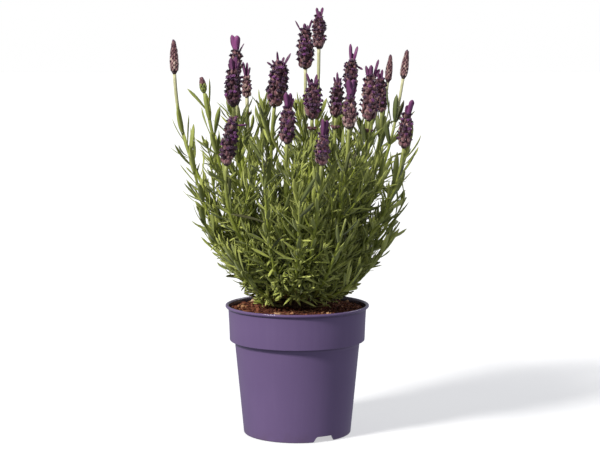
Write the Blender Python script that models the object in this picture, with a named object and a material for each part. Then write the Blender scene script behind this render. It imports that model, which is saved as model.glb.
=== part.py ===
"""Potted lavender with butterfly flower heads, in a round nursery pot.

Metres, +Z up. The origin is on the surface that the pot stands on, on the pot's axis,
and -Y is the front. Every stem leaves the root crown, spreads outwards and then turns
up; each flower head and each stem is a solid of its own.
"""

import math

import bmesh
import bpy
import numpy as np
from mathutils import Vector

for old in list(bpy.data.objects):
    bpy.data.objects.remove(old, do_unlink=True)

# ---------------------------------------------------------------- driving dimensions
POT_HEIGHT = 0.1083
LIP_RADIUS = 0.0600
COLLAR_TOP_RADIUS = 0.0580
COLLAR_BOTTOM_RADIUS = 0.0566
COLLAR_BOTTOM_Z = 0.0802
BODY_TOP_RADIUS = 0.0522
BODY_TOP_Z = 0.0757
BASE_RADIUS = 0.0449
WALL = 0.0011
FLOOR_UNDERSIDE_Z = 0.0048
FLOOR_TOP_Z = 0.0062
FOOT_WIDTH = 0.0020
POT_SEGMENTS = 48

NOTCH_HEIGHT = 0.0046
NOTCH_TOP_WIDTH = 0.014
NOTCH_BASE_WIDTH = 0.020
NOTCH_AZIMUTH_DEG = -60.0
DRAIN_HOLES = 6
DRAIN_RADIUS = 0.004
DRAIN_CIRCLE_RADIUS = 0.028

SOIL_GAP = 0.0003
SOIL_EDGE_Z = 0.1030
SOIL_MIDDLE_Z = 0.1062
CROWN_POCKET_RADIUS = 0.0138
CROWN_POCKET_Z = 0.0980

CROWN_CENTRE = (0.0, 0.0, 0.1065)
CROWN_RADIUS = 0.0128
CROWN_HEIGHT = 0.0108

STEM_SIDE_BASE = 0.0026
STEM_SIDE_TOP = 0.0019
STEM_CLEARANCE = 0.0046
FOOT_SPACING = 0.0048
LEAF_BASE_HEIGHT = 0.0022
LEAF_CLEARANCE = 0.0031
HEAD_GAP = 0.0004

# Flower heads, in millimetres and degrees: x, y, z of the base, length and width of the
# body, lean to +X, number and length of the bract ears, bare stalk under the head.
FLOWER_HEADS = (
    (-102, 10, 300, 28, 8.5, -1, 0, 0, 50),
    (-75, -30, 285, 13, 5.0, -10, 0, 0, 14),
    (-56, -62, 229, 35, 12.5, 8, 2, 8, 12),
    (-52, -20, 274, 28, 14.0, 0, 4, 12, 30),
    (-52, 45, 299, 20, 11.5, 0, 4, 13, 45),
    (-44, 75, 279, 18, 10.0, -2, 3, 12, 35),
    (-19, 20, 273, 35, 17.0, 8, 4, 13, 25),
    (-8, -75, 247, 27, 13.0, 2, 4, 12, 15),
    (7, 65, 304, 32, 14.0, 0, 4, 9, 45),
    (12, -45, 265, 26, 14.0, 2, 3, 10, 20),
    (18, 15, 321, 26, 11.5, 0, 3, 8, 60),
    (19, -88, 231, 22, 12.0, 4, 4, 14, 12),
    (32, 0, 265, 27, 12.0, 3, 3, 9, 20),
    (41, -60, 258, 24, 12.5, 2, 4, 14, 15),
    (46, 60, 282, 28, 13.0, 1, 3, 15, 30),
    (58, -30, 263, 35, 14.0, 2, 4, 9, 18),
    (71, 30, 268, 27, 11.5, -2, 3, 8, 25),
    (78, 60, 292, 24, 7.0, 6, 0, 0, 40),
    (88, 10, 296, 24, 7.5, 8, 0, 0, 35),
    (86, -35, 241, 27, 12.0, 5, 3, 11, 10),
)

# Tips of the shoots that carry no flower, in millimetres: x, y, z.
LEAFY_SHOOTS = (
    (-89, -20, 236),
    (-87, 15, 206),
    (-78, -25, 183),
    (-70, 5, 157),
    (-50, -47, 149),
    (90, 20, 227),
    (89, -25, 200),
    (86, 10, 176),
    (71, -30, 158),
    (52, -56, 146),
    (-27, -85, 238),
    (2, -90, 203),
    (38, -84, 188),
    (-28, 75, 264),
    (3, 91, 262),
    (38, 80, 258),
    (62, 74, 252),
)

PLASTIC = ((0.19, 0.14, 0.25), 0.42)
EARTH = ((0.055, 0.028, 0.018), 0.95)
BARK = ((0.16, 0.10, 0.055), 0.85)
STALK = ((0.30, 0.34, 0.12), 0.55)
FOLIAGE = ((0.15, 0.20, 0.065), 0.60)
FLORET = ((0.075, 0.030, 0.085), 0.75)


# ---------------------------------------------------------------- skeleton of the plant
def bezier(p0, p1, p2, p3, count):
    t = np.linspace(0.0, 1.0, count)[:, None]
    return (1 - t) ** 3 * p0 + 3 * (1 - t) ** 2 * t * p1 + 3 * (1 - t) * t * t * p2 + t**3 * p3


def stem_heading(tip):
    """Unit direction in which the stem to this tip leaves the crown."""
    heading = tip - np.array(CROWN_CENTRE)
    rise = max(heading[2], 0.03)
    steep = np.interp(rise, [0.045, 0.125], [0.85, 0.42])
    heading = np.array([heading[0], heading[1], rise * steep])
    return heading / np.linalg.norm(heading)


def spread_headings(headings):
    """Turns the headings apart until the stems' feet stand clear of each other on the crown."""
    reach = np.array([CROWN_RADIUS, CROWN_RADIUS, CROWN_HEIGHT]) + 0.0018
    for step in range(400):
        feet = headings * reach
        apart = feet[:, None, :] - feet[None, :, :]
        distance = np.sqrt((apart**2).sum(2)) + np.eye(len(feet))
        close = np.clip(FOOT_SPACING - distance, 0, None)
        push = (apart / distance[:, :, None] * close[:, :, None]).sum(1)
        headings = headings + push / CROWN_RADIUS * 0.3
        headings[:, 2] = np.maximum(headings[:, 2], 0.20)
        headings = headings / np.linalg.norm(headings, axis=1)[:, None]
    return headings


def stem_line(tip, axis, heading, count=48):
    """A stem's centre line: out of the crown at a slant, then up to its tip along axis."""
    reach = np.array([CROWN_RADIUS, CROWN_RADIUS, CROWN_HEIGHT]) + 0.0018
    start = np.array(CROWN_CENTRE) + heading * reach
    length = np.linalg.norm(tip - start)
    return bezier(start, start + heading * length * 0.33, tip - axis * length * 0.40, tip, count)


def head_axis(x, y, lean):
    axis = np.array([math.tan(math.radians(lean)), math.tan(math.radians(6.0 * y / 0.09)), 1.0])
    return axis / np.linalg.norm(axis)


def skeleton():
    """Centre lines of all stems, pushed apart until none runs through another or a head."""
    tips, axes, heads = [], [], []
    for x, y, z, body, width, lean, ears, ear, bare in FLOWER_HEADS:
        base = np.array([x, y, z]) * 0.001
        axis = head_axis(base[0], base[1], lean)
        heads.append((base, axis, body * 0.001, width * 0.0005, ears, ear * 0.001))
        tips.append(base - axis * HEAD_GAP)
        axes.append(axis)
    for x, y, z in LEAFY_SHOOTS:
        tip = np.array([x, y, z]) * 0.001
        splay = np.interp(tip[2], [0.15, 0.24], [8.0, 2.2])
        axis = np.array([tip[0] * splay, tip[1] * splay, 0.9])
        tips.append(tip)
        axes.append(axis / np.linalg.norm(axis))
    headings = spread_headings(np.array([stem_heading(tip) for tip in tips]))
    lines = np.array([stem_line(*row) for row in zip(tips, axes, headings)])
    stems, count = lines.shape[:2]
    owner = np.repeat(np.arange(stems), count)
    place = np.tile(np.arange(count), stems)
    free = (place > 1) & (place < count - 6)
    balls, radii, of = [], [], []
    for i, (base, axis, body, half, ears, ear) in enumerate(heads):
        for t in np.linspace(0.05, 1.0, 9):
            balls.append(base + axis * (body + 0.5 * ear) * t)
            radii.append(half + 0.0026)
            of.append(i)
    balls, radii, of = np.array(balls), np.array(radii), np.array(of)
    for step in range(90):
        points = lines.reshape(-1, 3)
        apart = points[:, None, :] - points[None, :, :]
        distance = np.sqrt((apart**2).sum(2)) + 1e-9
        close = np.clip(STEM_CLEARANCE - distance, 0, None)
        close[owner[:, None] == owner[None, :]] = 0
        push = (apart / distance[:, :, None] * close[:, :, None] * 0.35).sum(1)
        off = points[:, None, :] - balls[None, :, :]
        gap = np.sqrt((off**2).sum(2)) + 1e-9
        inside = np.clip(radii[None, :] - gap, 0, None)
        inside[owner[:, None] == of[None, :]] = 0
        push += (off / gap[:, :, None] * inside[:, :, None] * 0.5).sum(1)
        push[~free] = 0
        push = push.reshape(stems, count, 3)
        smooth = push.copy()
        for _ in range(4):
            smooth[:, 1:-1] = (smooth[:, :-2] + 2 * smooth[:, 1:-1] + smooth[:, 2:]) / 4
        lines = lines + 0.5 * push + 0.9 * smooth * free.reshape(stems, count, 1)
        inner = lines[:, 1:-1]
        mean = (lines[:, :-2] + lines[:, 2:]) / 2
        lines[:, 1:-1] = inner + 0.08 * (mean - inner)
    return lines, heads


def arc_lengths(line):
    return np.concatenate([[0.0], np.cumsum(np.linalg.norm(np.diff(line, axis=0), axis=1))])


def point_at(line, lengths, s):
    return np.array([np.interp(s, lengths, line[:, k]) for k in range(3)])


def frames_along(line, stations):
    """Position, tangent and two side directions at each station, without twist."""
    lengths = arc_lengths(line)
    frames, side = [], None
    for s in stations:
        p = point_at(line, lengths, s)
        a = point_at(line, lengths, max(s - 0.004, 0.0))
        b = point_at(line, lengths, min(s + 0.004, lengths[-1]))
        tangent = (b - a) / np.linalg.norm(b - a)
        if side is None:
            side = np.cross(tangent, [0.31, 0.95, 0.05])
        side = side - tangent * (side @ tangent)
        side = side / np.linalg.norm(side)
        frames.append((p, tangent, side, np.cross(tangent, side)))
    return frames


def segment_gap(a0, a1, b0, b1):
    """Smallest distance from segment a to each of the segments b."""
    ts = np.linspace(0, 1, 9)[:, None]
    pts = a0 + (a1 - a0) * ts
    d = b1 - b0
    rel = pts[:, None, :] - b0[None, :, :]
    t = np.clip((rel * d[None]).sum(2) / ((d * d).sum(1)[None] + 1e-12), 0, 1)
    near = b0[None] + d[None] * t[:, :, None]
    return np.sqrt(((pts[:, None, :] - near) ** 2).sum(2)).min()


# ---------------------------------------------------------------- meshes and materials
def material(name, look):
    colour, roughness = look
    mat = bpy.data.materials.new(name)
    mat.use_nodes = True
    shader = mat.node_tree.nodes["Principled BSDF"]
    shader.inputs["Base Color"].default_value = (*colour, 1.0)
    shader.inputs["Roughness"].default_value = roughness
    shader.inputs["Metallic"].default_value = 0.0
    mat.diffuse_color = (*colour, 1.0)
    return mat


MATERIALS = {
    "pot_plastic": material("pot_plastic", PLASTIC),
    "potting_soil": material("potting_soil", EARTH),
    "woody_bark": material("woody_bark", BARK),
    "green_stalk": material("green_stalk", STALK),
    "foliage": material("foliage", FOLIAGE),
    "florets": material("florets", FLORET),
}


def finish_object(bm, name, slot, smooth=False):
    mesh = bpy.data.meshes.new(name)
    bmesh.ops.recalc_face_normals(bm, faces=bm.faces[:])
    bm.to_mesh(mesh)
    bm.free()
    mesh.materials.append(MATERIALS[slot])
    if smooth:
        mesh.shade_smooth()
        mesh.set_sharp_from_angle(angle=math.radians(35))
    obj = bpy.data.objects.new(name, mesh)
    bpy.context.scene.collection.objects.link(obj)
    return obj


def ring_of(bm, points):
    return [bm.verts.new(Vector(p)) for p in points]


def bridge(bm, low, high):
    n = len(low)
    return [
        bm.faces.new((low[i], low[(i + 1) % n], high[(i + 1) % n], high[i])) for i in range(n)
    ]


def revolve(profile, segments, ripple=None):
    """A turned solid from (radius, height) points; a radius of 0 is a pole."""
    bm = bmesh.new()
    rings = []
    for k, (r, z) in enumerate(profile):
        if r == 0:
            rings.append([bm.verts.new((0, 0, z))])
            continue
        points = []
        for i in range(segments):
            a = 2 * math.pi * i / segments
            rr = r * (1 + (ripple(a, k) if ripple else 0.0))
            points.append((rr * math.cos(a), rr * math.sin(a), z))
        rings.append(ring_of(bm, points))
    closed = profile[0][0] != 0
    pairs = list(zip(rings, rings[1:])) + ([(rings[-1], rings[0])] if closed else [])
    for low, high in pairs:
        if len(low) == 1 or len(high) == 1:
            pole, ring = (low[0], high) if len(low) == 1 else (high[0], low)
            for i in range(segments):
                bm.faces.new((pole, ring[i], ring[(i + 1) % segments]))
        else:
            bridge(bm, low, high)
    return bm


def cutter(name, bm):
    mesh = bpy.data.meshes.new(name)
    bmesh.ops.recalc_face_normals(bm, faces=bm.faces[:])
    bm.to_mesh(mesh)
    bm.free()
    obj = bpy.data.objects.new(name, mesh)
    bpy.context.scene.collection.objects.link(obj)
    obj.hide_render = True
    obj.display_type = "WIRE"
    return obj


def cut(target, tool):
    modifier = target.modifiers.new("cut_" + tool.name, "BOOLEAN")
    modifier.operation = "DIFFERENCE"
    modifier.solver = "EXACT"
    modifier.object = tool


# ---------------------------------------------------------------- pot
def make_pot():
    profile = [
        (BASE_RADIUS, 0.0),
        (BODY_TOP_RADIUS, BODY_TOP_Z),
        (COLLAR_BOTTOM_RADIUS, COLLAR_BOTTOM_Z),
        (COLLAR_TOP_RADIUS, POT_HEIGHT - 0.0032),
        (LIP_RADIUS - 0.0003, POT_HEIGHT - 0.0023),
        (LIP_RADIUS, POT_HEIGHT - 0.0013),
        (LIP_RADIUS - 0.0005, POT_HEIGHT - 0.0004),
        (LIP_RADIUS - 0.0013, POT_HEIGHT),
        (COLLAR_TOP_RADIUS - 0.0007, POT_HEIGHT - 0.0003),
        (COLLAR_TOP_RADIUS - WALL, POT_HEIGHT - 0.0032),
        (COLLAR_BOTTOM_RADIUS - WALL, COLLAR_BOTTOM_Z + 0.0004),
        (BODY_TOP_RADIUS - WALL, BODY_TOP_Z - 0.0002),
        (BASE_RADIUS - WALL + 0.0007, FLOOR_TOP_Z),
        (0.0, FLOOR_TOP_Z),
    ]
    underside = [
        (0.0, FLOOR_UNDERSIDE_Z),
        (BASE_RADIUS - FOOT_WIDTH, FLOOR_UNDERSIDE_Z),
        (BASE_RADIUS - FOOT_WIDTH, 0.0),
    ]
    bm = revolve(underside + profile, POT_SEGMENTS)
    pot = finish_object(bm, "pot", "pot_plastic", smooth=True)
    for side in (0, 180):
        turn = math.radians(NOTCH_AZIMUTH_DEG + side)
        out = Vector((math.cos(turn), math.sin(turn), 0))
        across = Vector((-math.sin(turn), math.cos(turn), 0))
        bm = bmesh.new()
        outline = [
            (-NOTCH_BASE_WIDTH / 2 - 0.0013, -0.002),
            (NOTCH_BASE_WIDTH / 2 + 0.0013, -0.002),
            (NOTCH_TOP_WIDTH / 2, NOTCH_HEIGHT),
            (-NOTCH_TOP_WIDTH / 2, NOTCH_HEIGHT),
        ]
        near = ring_of(bm, [out * 0.036 + across * w + Vector((0, 0, h)) for w, h in outline])
        face = bm.faces.new(near)
        grown = bmesh.ops.extrude_face_region(bm, geom=[face])
        moved = [v for v in grown["geom"] if isinstance(v, bmesh.types.BMVert)]
        bmesh.ops.translate(bm, verts=moved, vec=out * 0.014)
        cut(pot, cutter(f"notch_cutter_{1 if side == 0 else 2}", bm))
    for i in range(DRAIN_HOLES):
        a = 2 * math.pi * (i + 0.25) / DRAIN_HOLES
        bm = bmesh.new()
        bmesh.ops.create_cone(
            bm,
            cap_ends=True,
            segments=12,
            radius1=DRAIN_RADIUS,
            radius2=DRAIN_RADIUS,
            depth=0.006,
        )
        centre = (DRAIN_CIRCLE_RADIUS * math.cos(a), DRAIN_CIRCLE_RADIUS * math.sin(a), 0.0055)
        bmesh.ops.translate(bm, verts=bm.verts[:], vec=centre)
        cut(pot, cutter(f"drain_cutter_{i + 1}", bm))
    return pot


# ---------------------------------------------------------------- soil and root crown
def make_soil():
    def inner(z):
        """Inner radius of the pot at a height, less the gap."""
        rows = (
            (FLOOR_TOP_Z, BASE_RADIUS - WALL + 0.0007),
            (BODY_TOP_Z - 0.0002, BODY_TOP_RADIUS - WALL),
            (COLLAR_BOTTOM_Z + 0.0004, COLLAR_BOTTOM_RADIUS - WALL),
            (POT_HEIGHT - 0.0032, COLLAR_TOP_RADIUS - WALL),
        )
        return float(np.interp(z, [r[0] for r in rows], [r[1] for r in rows])) - SOIL_GAP

    step = COLLAR_BOTTOM_Z + 0.0004
    profile = [
        (0.0, FLOOR_TOP_Z + SOIL_GAP),
        (inner(FLOOR_TOP_Z) - 0.0002, FLOOR_TOP_Z + SOIL_GAP),
        (inner(BODY_TOP_Z - 0.0002) - 0.0001, BODY_TOP_Z + 0.0002),
        (inner(step) - 0.0001, step + 0.0005),
        (inner(SOIL_EDGE_Z), SOIL_EDGE_Z),
        (0.0480, 0.1040),
        (0.0350, 0.1053),
        (0.0220, SOIL_MIDDLE_Z),
        (CROWN_POCKET_RADIUS, SOIL_MIDDLE_Z),
        (CROWN_POCKET_RADIUS, CROWN_POCKET_Z),
        (0.0, CROWN_POCKET_Z),
    ]
    return finish_object(revolve(profile, POT_SEGMENTS), "soil", "potting_soil", smooth=True)


def make_crown():
    radius = CROWN_POCKET_RADIUS - 0.0007
    cx, cy, cz = CROWN_CENTRE
    profile = [(0.0, CROWN_POCKET_Z + 0.0004), (radius * 0.92, CROWN_POCKET_Z + 0.0004)]
    profile += [(radius, SOIL_MIDDLE_Z - 0.0020), (radius * 0.97, cz + 0.0006)]
    for t in (0.32, 0.62, 0.86):
        profile.append((CROWN_RADIUS * math.sqrt(1 - t * t) * 0.98, cz + CROWN_HEIGHT * t))
    profile.append((0.0, cz + CROWN_HEIGHT))

    def knobbly(a, k):
        return 0.0 if k < 4 else 0.035 * math.sin(5 * a + 1.3 * k) - 0.045

    return finish_object(revolve(profile, 20, knobbly), "woody_crown", "woody_bark", smooth=True)


# ---------------------------------------------------------------- stems with leaves
def leaf_nodes(line, bare, flowering, index):
    """Arc lengths of the leaf pairs: closer together towards the tip of a shoot."""
    total = arc_lengths(line)[-1]
    first = 0.026 + 0.003 * (index % 3)
    last = total - bare
    count = max(3, int(round((last - first) / 0.021)) + 1)
    count = min(count, 7)
    t = np.linspace(0, 1, count)
    return first + (last - first) * (t**0.9), total, flowering


def make_stem(name, index, line, bare, flowering, taken, stems):
    nodes, total, _ = leaf_nodes(line, bare, flowering, index)
    half = LEAF_BASE_HEIGHT / 2
    stations, pairs = [0.0], {}
    for k, s in enumerate(nodes):
        if s - half - stations[-1] > 0.020:
            stations.append((stations[-1] + s - half) / 2)
        stations += [s - half, s + half]
        pairs[len(stations) - 2] = k
    if total - stations[-1] > 0.030:
        stations.append((stations[-1] + total) / 2)
    stations.append(total)
    frames = frames_along(line, stations)
    bm = bmesh.new()
    rings = []
    for s, (p, tangent, one, two) in zip(stations, frames):
        h = (STEM_SIDE_BASE + (STEM_SIDE_TOP - STEM_SIDE_BASE) * s / total) / 2
        corners = ((1, -1), (1, 1), (-1, 1), (-1, -1))
        rings.append(ring_of(bm, [p + h * (a * one + b * two) for a, b in corners]))
    bands = [bridge(bm, low, high) for low, high in zip(rings, rings[1:])]
    bm.faces.new(rings[0][::-1])
    bm.faces.new(rings[-1])
    for band, k in pairs.items():
        p, tangent, one, two = frames[band]
        middle = (frames[band][0] + frames[band + 1][0]) / 2
        # corners run (+,-) (+,+) (-,+) (-,-), so side 0 faces +one and side 1 faces +two
        outward = (one, two, -one, -two)
        last = k == len(nodes) - 1 and not flowering
        for side in (0, 1, 2, 3) if last else ((0, 2) if k % 2 == 0 else (1, 3)):
            out = outward[side]
            share = k / max(len(nodes) - 1, 1)
            slope = math.radians(52 - 22 * share + 4 * math.sin(2.3 * index + 1.7 * side + k))
            direction = out * math.sin(slope) + tangent * math.cos(slope)
            if direction[2] < 0.05:
                direction[2] = 0.05
                direction /= np.linalg.norm(direction)
            full = 0.0225 + 0.0035 * math.sin(1.9 * index + 2.7 * k + side)
            h = np.linalg.norm(Vector(rings[band][0].co - rings[band][1].co)) / 2
            root = middle + out * h
            for share in (1.0, 0.8, 0.62):
                end = root + direction * full * share
                if math.hypot(end[0], end[1]) < 0.059 and end[2] < POT_HEIGHT + 0.002:
                    continue
                if max(abs(end[0]), abs(end[1])) > 0.1095:
                    continue
                near = root + direction * 0.0045
                others = stems[[i for i in range(len(stems)) if i != index]]
                b0 = others[:, :-1].reshape(-1, 3)
                b1 = others[:, 1:].reshape(-1, 3)
                if segment_gap(root, end, b0, b1) < LEAF_CLEARANCE:
                    continue
                if taken:
                    old = np.array(taken)
                    same = old[:, 6] == index
                    far = old[~same]
                    own = old[same]
                    if len(far) and segment_gap(root, end, far[:, :3], far[:, 3:6]) < LEAF_CLEARANCE:
                        continue
                    if len(own) and segment_gap(near, end, own[:, :3], own[:, 3:6]) < 0.0024:
                        continue
                taken.append([*root, *end, index])
                face = bands[band][side]
                grown = bmesh.ops.extrude_discrete_faces(bm, faces=[face])["faces"][0]
                top = sorted(grown.verts, key=lambda v: -float(np.array(v.co) @ tangent))
                across = np.cross(direction, out)
                across = np.cross(out, tangent)
                across /= np.linalg.norm(across)
                for v in grown.verts:
                    where = float((np.array(v.co) - middle) @ across)
                    v.co = Vector(end + across * math.copysign(0.0008, where))
                upper = top[:2]
                lower = [v for v in grown.verts if v not in upper]
                joined = {
                    u: min(lower, key=lambda w: (w.co - u.co).length) for u in upper
                }
                bmesh.ops.weld_verts(bm, targetmap=joined)
                break
    return finish_object(bm, name, "green_stalk" if flowering else "foliage")


# ---------------------------------------------------------------- flower heads
HEAD_PROFILE = ((0.0, 0.30), (0.07, 0.78), (0.24, 1.0), (0.46, 0.97), (0.68, 0.98), (0.87, 0.80))
BUD_PROFILE = ((0.0, 0.34), (0.10, 0.86), (0.34, 1.0), (0.58, 0.88), (0.78, 0.55), (0.92, 0.42))


def make_head(name, index, head):
    base, axis, body, half, ears, ear = head
    one = np.cross(axis, [0.0, 1.0, 0.0])
    one /= np.linalg.norm(one)
    two = np.cross(axis, one)
    bm = bmesh.new()
    rings = []
    rows = HEAD_PROFILE if ears else BUD_PROFILE
    for k, (t, share) in enumerate(rows):
        points = []
        for i in range(8):
            a = 2 * math.pi * (i + 0.5 * (k % 2)) / 8 + 0.7 * index
            r = half * share * 0.97
            points.append(base + axis * body * t + r * (math.cos(a) * one + math.sin(a) * two))
        rings.append(ring_of(bm, points))
    top_radius = half * (0.42 if ears else 0.16)
    points = []
    for i in range(8):
        a = 2 * math.pi * (i + 0.5 * (len(rows) % 2)) / 8 + 0.7 * index
        points.append(base + axis * body + top_radius * (math.cos(a) * one + math.sin(a) * two))
    rings.append(ring_of(bm, points))
    bands = [bridge(bm, low, high) for low, high in zip(rings, rings[1:])]
    bm.faces.new(rings[0][::-1])
    bm.faces.new(rings[-1])
    if ears:
        places = {2: (0, 4), 3: (0, 3, 5), 4: (0, 2, 4, 6)}[ears]
        for number, i in enumerate(places):
            face = bands[-1][i]
            centre = np.array(face.calc_center_median())
            out = centre - base - axis * ((centre - base) @ axis)
            out /= np.linalg.norm(out)
            across = np.cross(axis, out)
            reach = ear * (1.0 - 0.16 * (number % 2))
            end = base + axis * (body + reach) + out * half * 0.72
            grown = bmesh.ops.extrude_discrete_faces(bm, faces=[face])["faces"][0]
            high = sorted(grown.verts, key=lambda v: -float(np.array(v.co) @ axis))[:2]
            low = [v for v in grown.verts if v not in high]
            for v in grown.verts:
                where = float((np.array(v.co) - centre) @ across)
                v.co = Vector(end + across * math.copysign(0.0011, where))
            joined = {u: min(low, key=lambda w: (w.co - u.co).length) for u in high}
            bmesh.ops.weld_verts(bm, targetmap=joined)
    return finish_object(bm, name, "florets", smooth=True)


# ---------------------------------------------------------------- assembly
def main():
    make_pot()
    make_soil()
    make_crown()
    lines, heads = skeleton()
    taken = []
    for i, (base, axis, body, half, ears, ear) in enumerate(heads):
        # A head keeps leaves away as a bundle of short segments round its axis.
        for turn in range(6):
            a = turn * math.pi / 3
            offset = 0.8 * half * np.array([math.cos(a), math.sin(a), 0.0])
            low = base + offset
            high = base + axis * (body + ear) + offset
            taken.append([*low, *high, -1.0])
        taken.append([*base, *(base + axis * body), -1.0])
    for i, row in enumerate(FLOWER_HEADS):
        name = f"flower_stalk_{i + 1:02d}"
        make_stem(name, i, lines[i], row[8] * 0.001, True, taken, lines)
        make_head(f"flower_head_{i + 1:02d}", i, heads[i])
    for j in range(len(LEAFY_SHOOTS)):
        index = len(FLOWER_HEADS) + j
        make_stem(f"leafy_shoot_{j + 1:02d}", index, lines[index], 0.002, False, taken, lines)


main()
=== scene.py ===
import math

import bmesh
import bpy
import numpy as np
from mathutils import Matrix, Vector, noise


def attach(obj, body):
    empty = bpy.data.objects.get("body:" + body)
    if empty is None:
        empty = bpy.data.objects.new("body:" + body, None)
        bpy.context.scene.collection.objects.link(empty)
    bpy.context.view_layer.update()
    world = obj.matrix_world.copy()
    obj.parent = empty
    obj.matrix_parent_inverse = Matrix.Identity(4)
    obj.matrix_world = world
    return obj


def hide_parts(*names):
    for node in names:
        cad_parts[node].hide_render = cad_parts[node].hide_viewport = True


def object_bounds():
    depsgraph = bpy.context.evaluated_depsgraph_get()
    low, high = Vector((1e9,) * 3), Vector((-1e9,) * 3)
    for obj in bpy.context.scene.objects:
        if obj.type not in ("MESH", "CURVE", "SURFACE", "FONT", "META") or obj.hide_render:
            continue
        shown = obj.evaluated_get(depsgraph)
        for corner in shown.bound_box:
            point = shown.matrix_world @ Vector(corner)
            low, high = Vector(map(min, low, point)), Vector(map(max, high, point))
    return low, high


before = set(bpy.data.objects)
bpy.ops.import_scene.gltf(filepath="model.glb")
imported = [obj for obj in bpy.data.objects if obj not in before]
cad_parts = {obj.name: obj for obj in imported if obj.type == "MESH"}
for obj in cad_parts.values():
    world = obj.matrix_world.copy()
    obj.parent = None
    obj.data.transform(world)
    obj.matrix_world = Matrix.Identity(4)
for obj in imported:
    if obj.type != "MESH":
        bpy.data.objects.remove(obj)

CAD_LOW, CAD_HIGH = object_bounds()
CAD_LOW, CAD_HIGH = list(CAD_LOW), list(CAD_HIGH)

# =====================================================================================
# Dimensions and the plant's skeleton: the same design as the CAD, in metres
# =====================================================================================
POT_HEIGHT = 0.1083
LIP_RADIUS = 0.0600
COLLAR_TOP_RADIUS = 0.0580
COLLAR_BOTTOM_RADIUS = 0.0566
COLLAR_BOTTOM_Z = 0.0802
BODY_TOP_RADIUS = 0.0522
BODY_TOP_Z = 0.0757
BASE_RADIUS = 0.0449
WALL = 0.0011
FLOOR_UNDERSIDE_Z = 0.0048
FLOOR_TOP_Z = 0.0062
FOOT_WIDTH = 0.0020

NOTCH_HEIGHT = 0.0046
NOTCH_TOP_WIDTH = 0.014
NOTCH_BASE_WIDTH = 0.020
NOTCH_AZIMUTH_DEG = -60.0
DRAIN_HOLES = 6
DRAIN_RADIUS = 0.004
DRAIN_CIRCLE_RADIUS = 0.028

SOIL_EDGE_Z = 0.1030
SOIL_MIDDLE_Z = 0.1062

CROWN_CENTRE = (0.0, 0.0, 0.1065)
CROWN_RADIUS = 0.0128
CROWN_HEIGHT = 0.0108
STEM_CLEARANCE = 0.0046
FOOT_SPACING = 0.0048
HEAD_GAP = 0.0004

# x, y, z of the head's base, length and width of its body (mm), lean, ears, ear length, bare stalk
FLOWER_HEADS = (
    (-102, 10, 300, 28, 8.5, -1, 0, 0, 50),
    (-75, -30, 285, 13, 5.0, -10, 0, 0, 14),
    (-56, -62, 229, 35, 12.5, 8, 2, 8, 12),
    (-52, -20, 274, 28, 14.0, 0, 4, 12, 30),
    (-52, 45, 299, 20, 11.5, 0, 4, 13, 45),
    (-44, 75, 279, 18, 10.0, -2, 3, 12, 35),
    (-19, 20, 273, 35, 17.0, 8, 4, 13, 25),
    (-8, -75, 247, 27, 13.0, 2, 4, 12, 15),
    (7, 65, 304, 32, 14.0, 0, 4, 9, 45),
    (12, -45, 265, 26, 14.0, 2, 3, 10, 20),
    (18, 15, 321, 26, 11.5, 0, 3, 8, 60),
    (19, -88, 231, 22, 12.0, 4, 4, 14, 12),
    (32, 0, 265, 27, 12.0, 3, 3, 9, 20),
    (41, -60, 258, 24, 12.5, 2, 4, 14, 15),
    (46, 60, 282, 28, 13.0, 1, 3, 15, 30),
    (58, -30, 263, 35, 14.0, 2, 4, 9, 18),
    (71, 30, 268, 27, 11.5, -2, 3, 8, 25),
    (78, 60, 292, 24, 7.0, 6, 0, 0, 40),
    (88, 10, 296, 24, 7.5, 8, 0, 0, 35),
    (86, -35, 241, 27, 12.0, 5, 3, 11, 10),
)

LEAFY_SHOOTS = (
    (-89, -20, 236),
    (-87, 15, 206),
    (-78, -25, 183),
    (-70, 5, 157),
    (-50, -47, 149),
    (90, 20, 227),
    (89, -25, 200),
    (86, 10, 176),
    (71, -30, 158),
    (52, -56, 146),
    (-27, -85, 238),
    (2, -90, 203),
    (38, -84, 188),
    (-28, 75, 264),
    (3, 91, 262),
    (38, 80, 258),
    (62, 74, 252),
)


def bezier(p0, p1, p2, p3, count):
    t = np.linspace(0.0, 1.0, count)[:, None]
    return (1 - t) ** 3 * p0 + 3 * (1 - t) ** 2 * t * p1 + 3 * (1 - t) * t * t * p2 + t**3 * p3


def stem_heading(tip):
    heading = tip - np.array(CROWN_CENTRE)
    rise = max(heading[2], 0.03)
    steep = np.interp(rise, [0.045, 0.125], [0.85, 0.42])
    heading = np.array([heading[0], heading[1], rise * steep])
    return heading / np.linalg.norm(heading)


def spread_headings(headings):
    reach = np.array([CROWN_RADIUS, CROWN_RADIUS, CROWN_HEIGHT]) + 0.0018
    for step in range(400):
        feet = headings * reach
        apart = feet[:, None, :] - feet[None, :, :]
        distance = np.sqrt((apart**2).sum(2)) + np.eye(len(feet))
        close = np.clip(FOOT_SPACING - distance, 0, None)
        push = (apart / distance[:, :, None] * close[:, :, None]).sum(1)
        headings = headings + push / CROWN_RADIUS * 0.3
        headings[:, 2] = np.maximum(headings[:, 2], 0.20)
        headings = headings / np.linalg.norm(headings, axis=1)[:, None]
    return headings


def stem_line(tip, axis, heading, count=48):
    reach = np.array([CROWN_RADIUS, CROWN_RADIUS, CROWN_HEIGHT]) + 0.0018
    start = np.array(CROWN_CENTRE) + heading * reach
    length = np.linalg.norm(tip - start)
    return bezier(start, start + heading * length * 0.33, tip - axis * length * 0.40, tip, count)


def head_axis(x, y, lean):
    axis = np.array([math.tan(math.radians(lean)), math.tan(math.radians(6.0 * y / 0.09)), 1.0])
    return axis / np.linalg.norm(axis)


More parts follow.
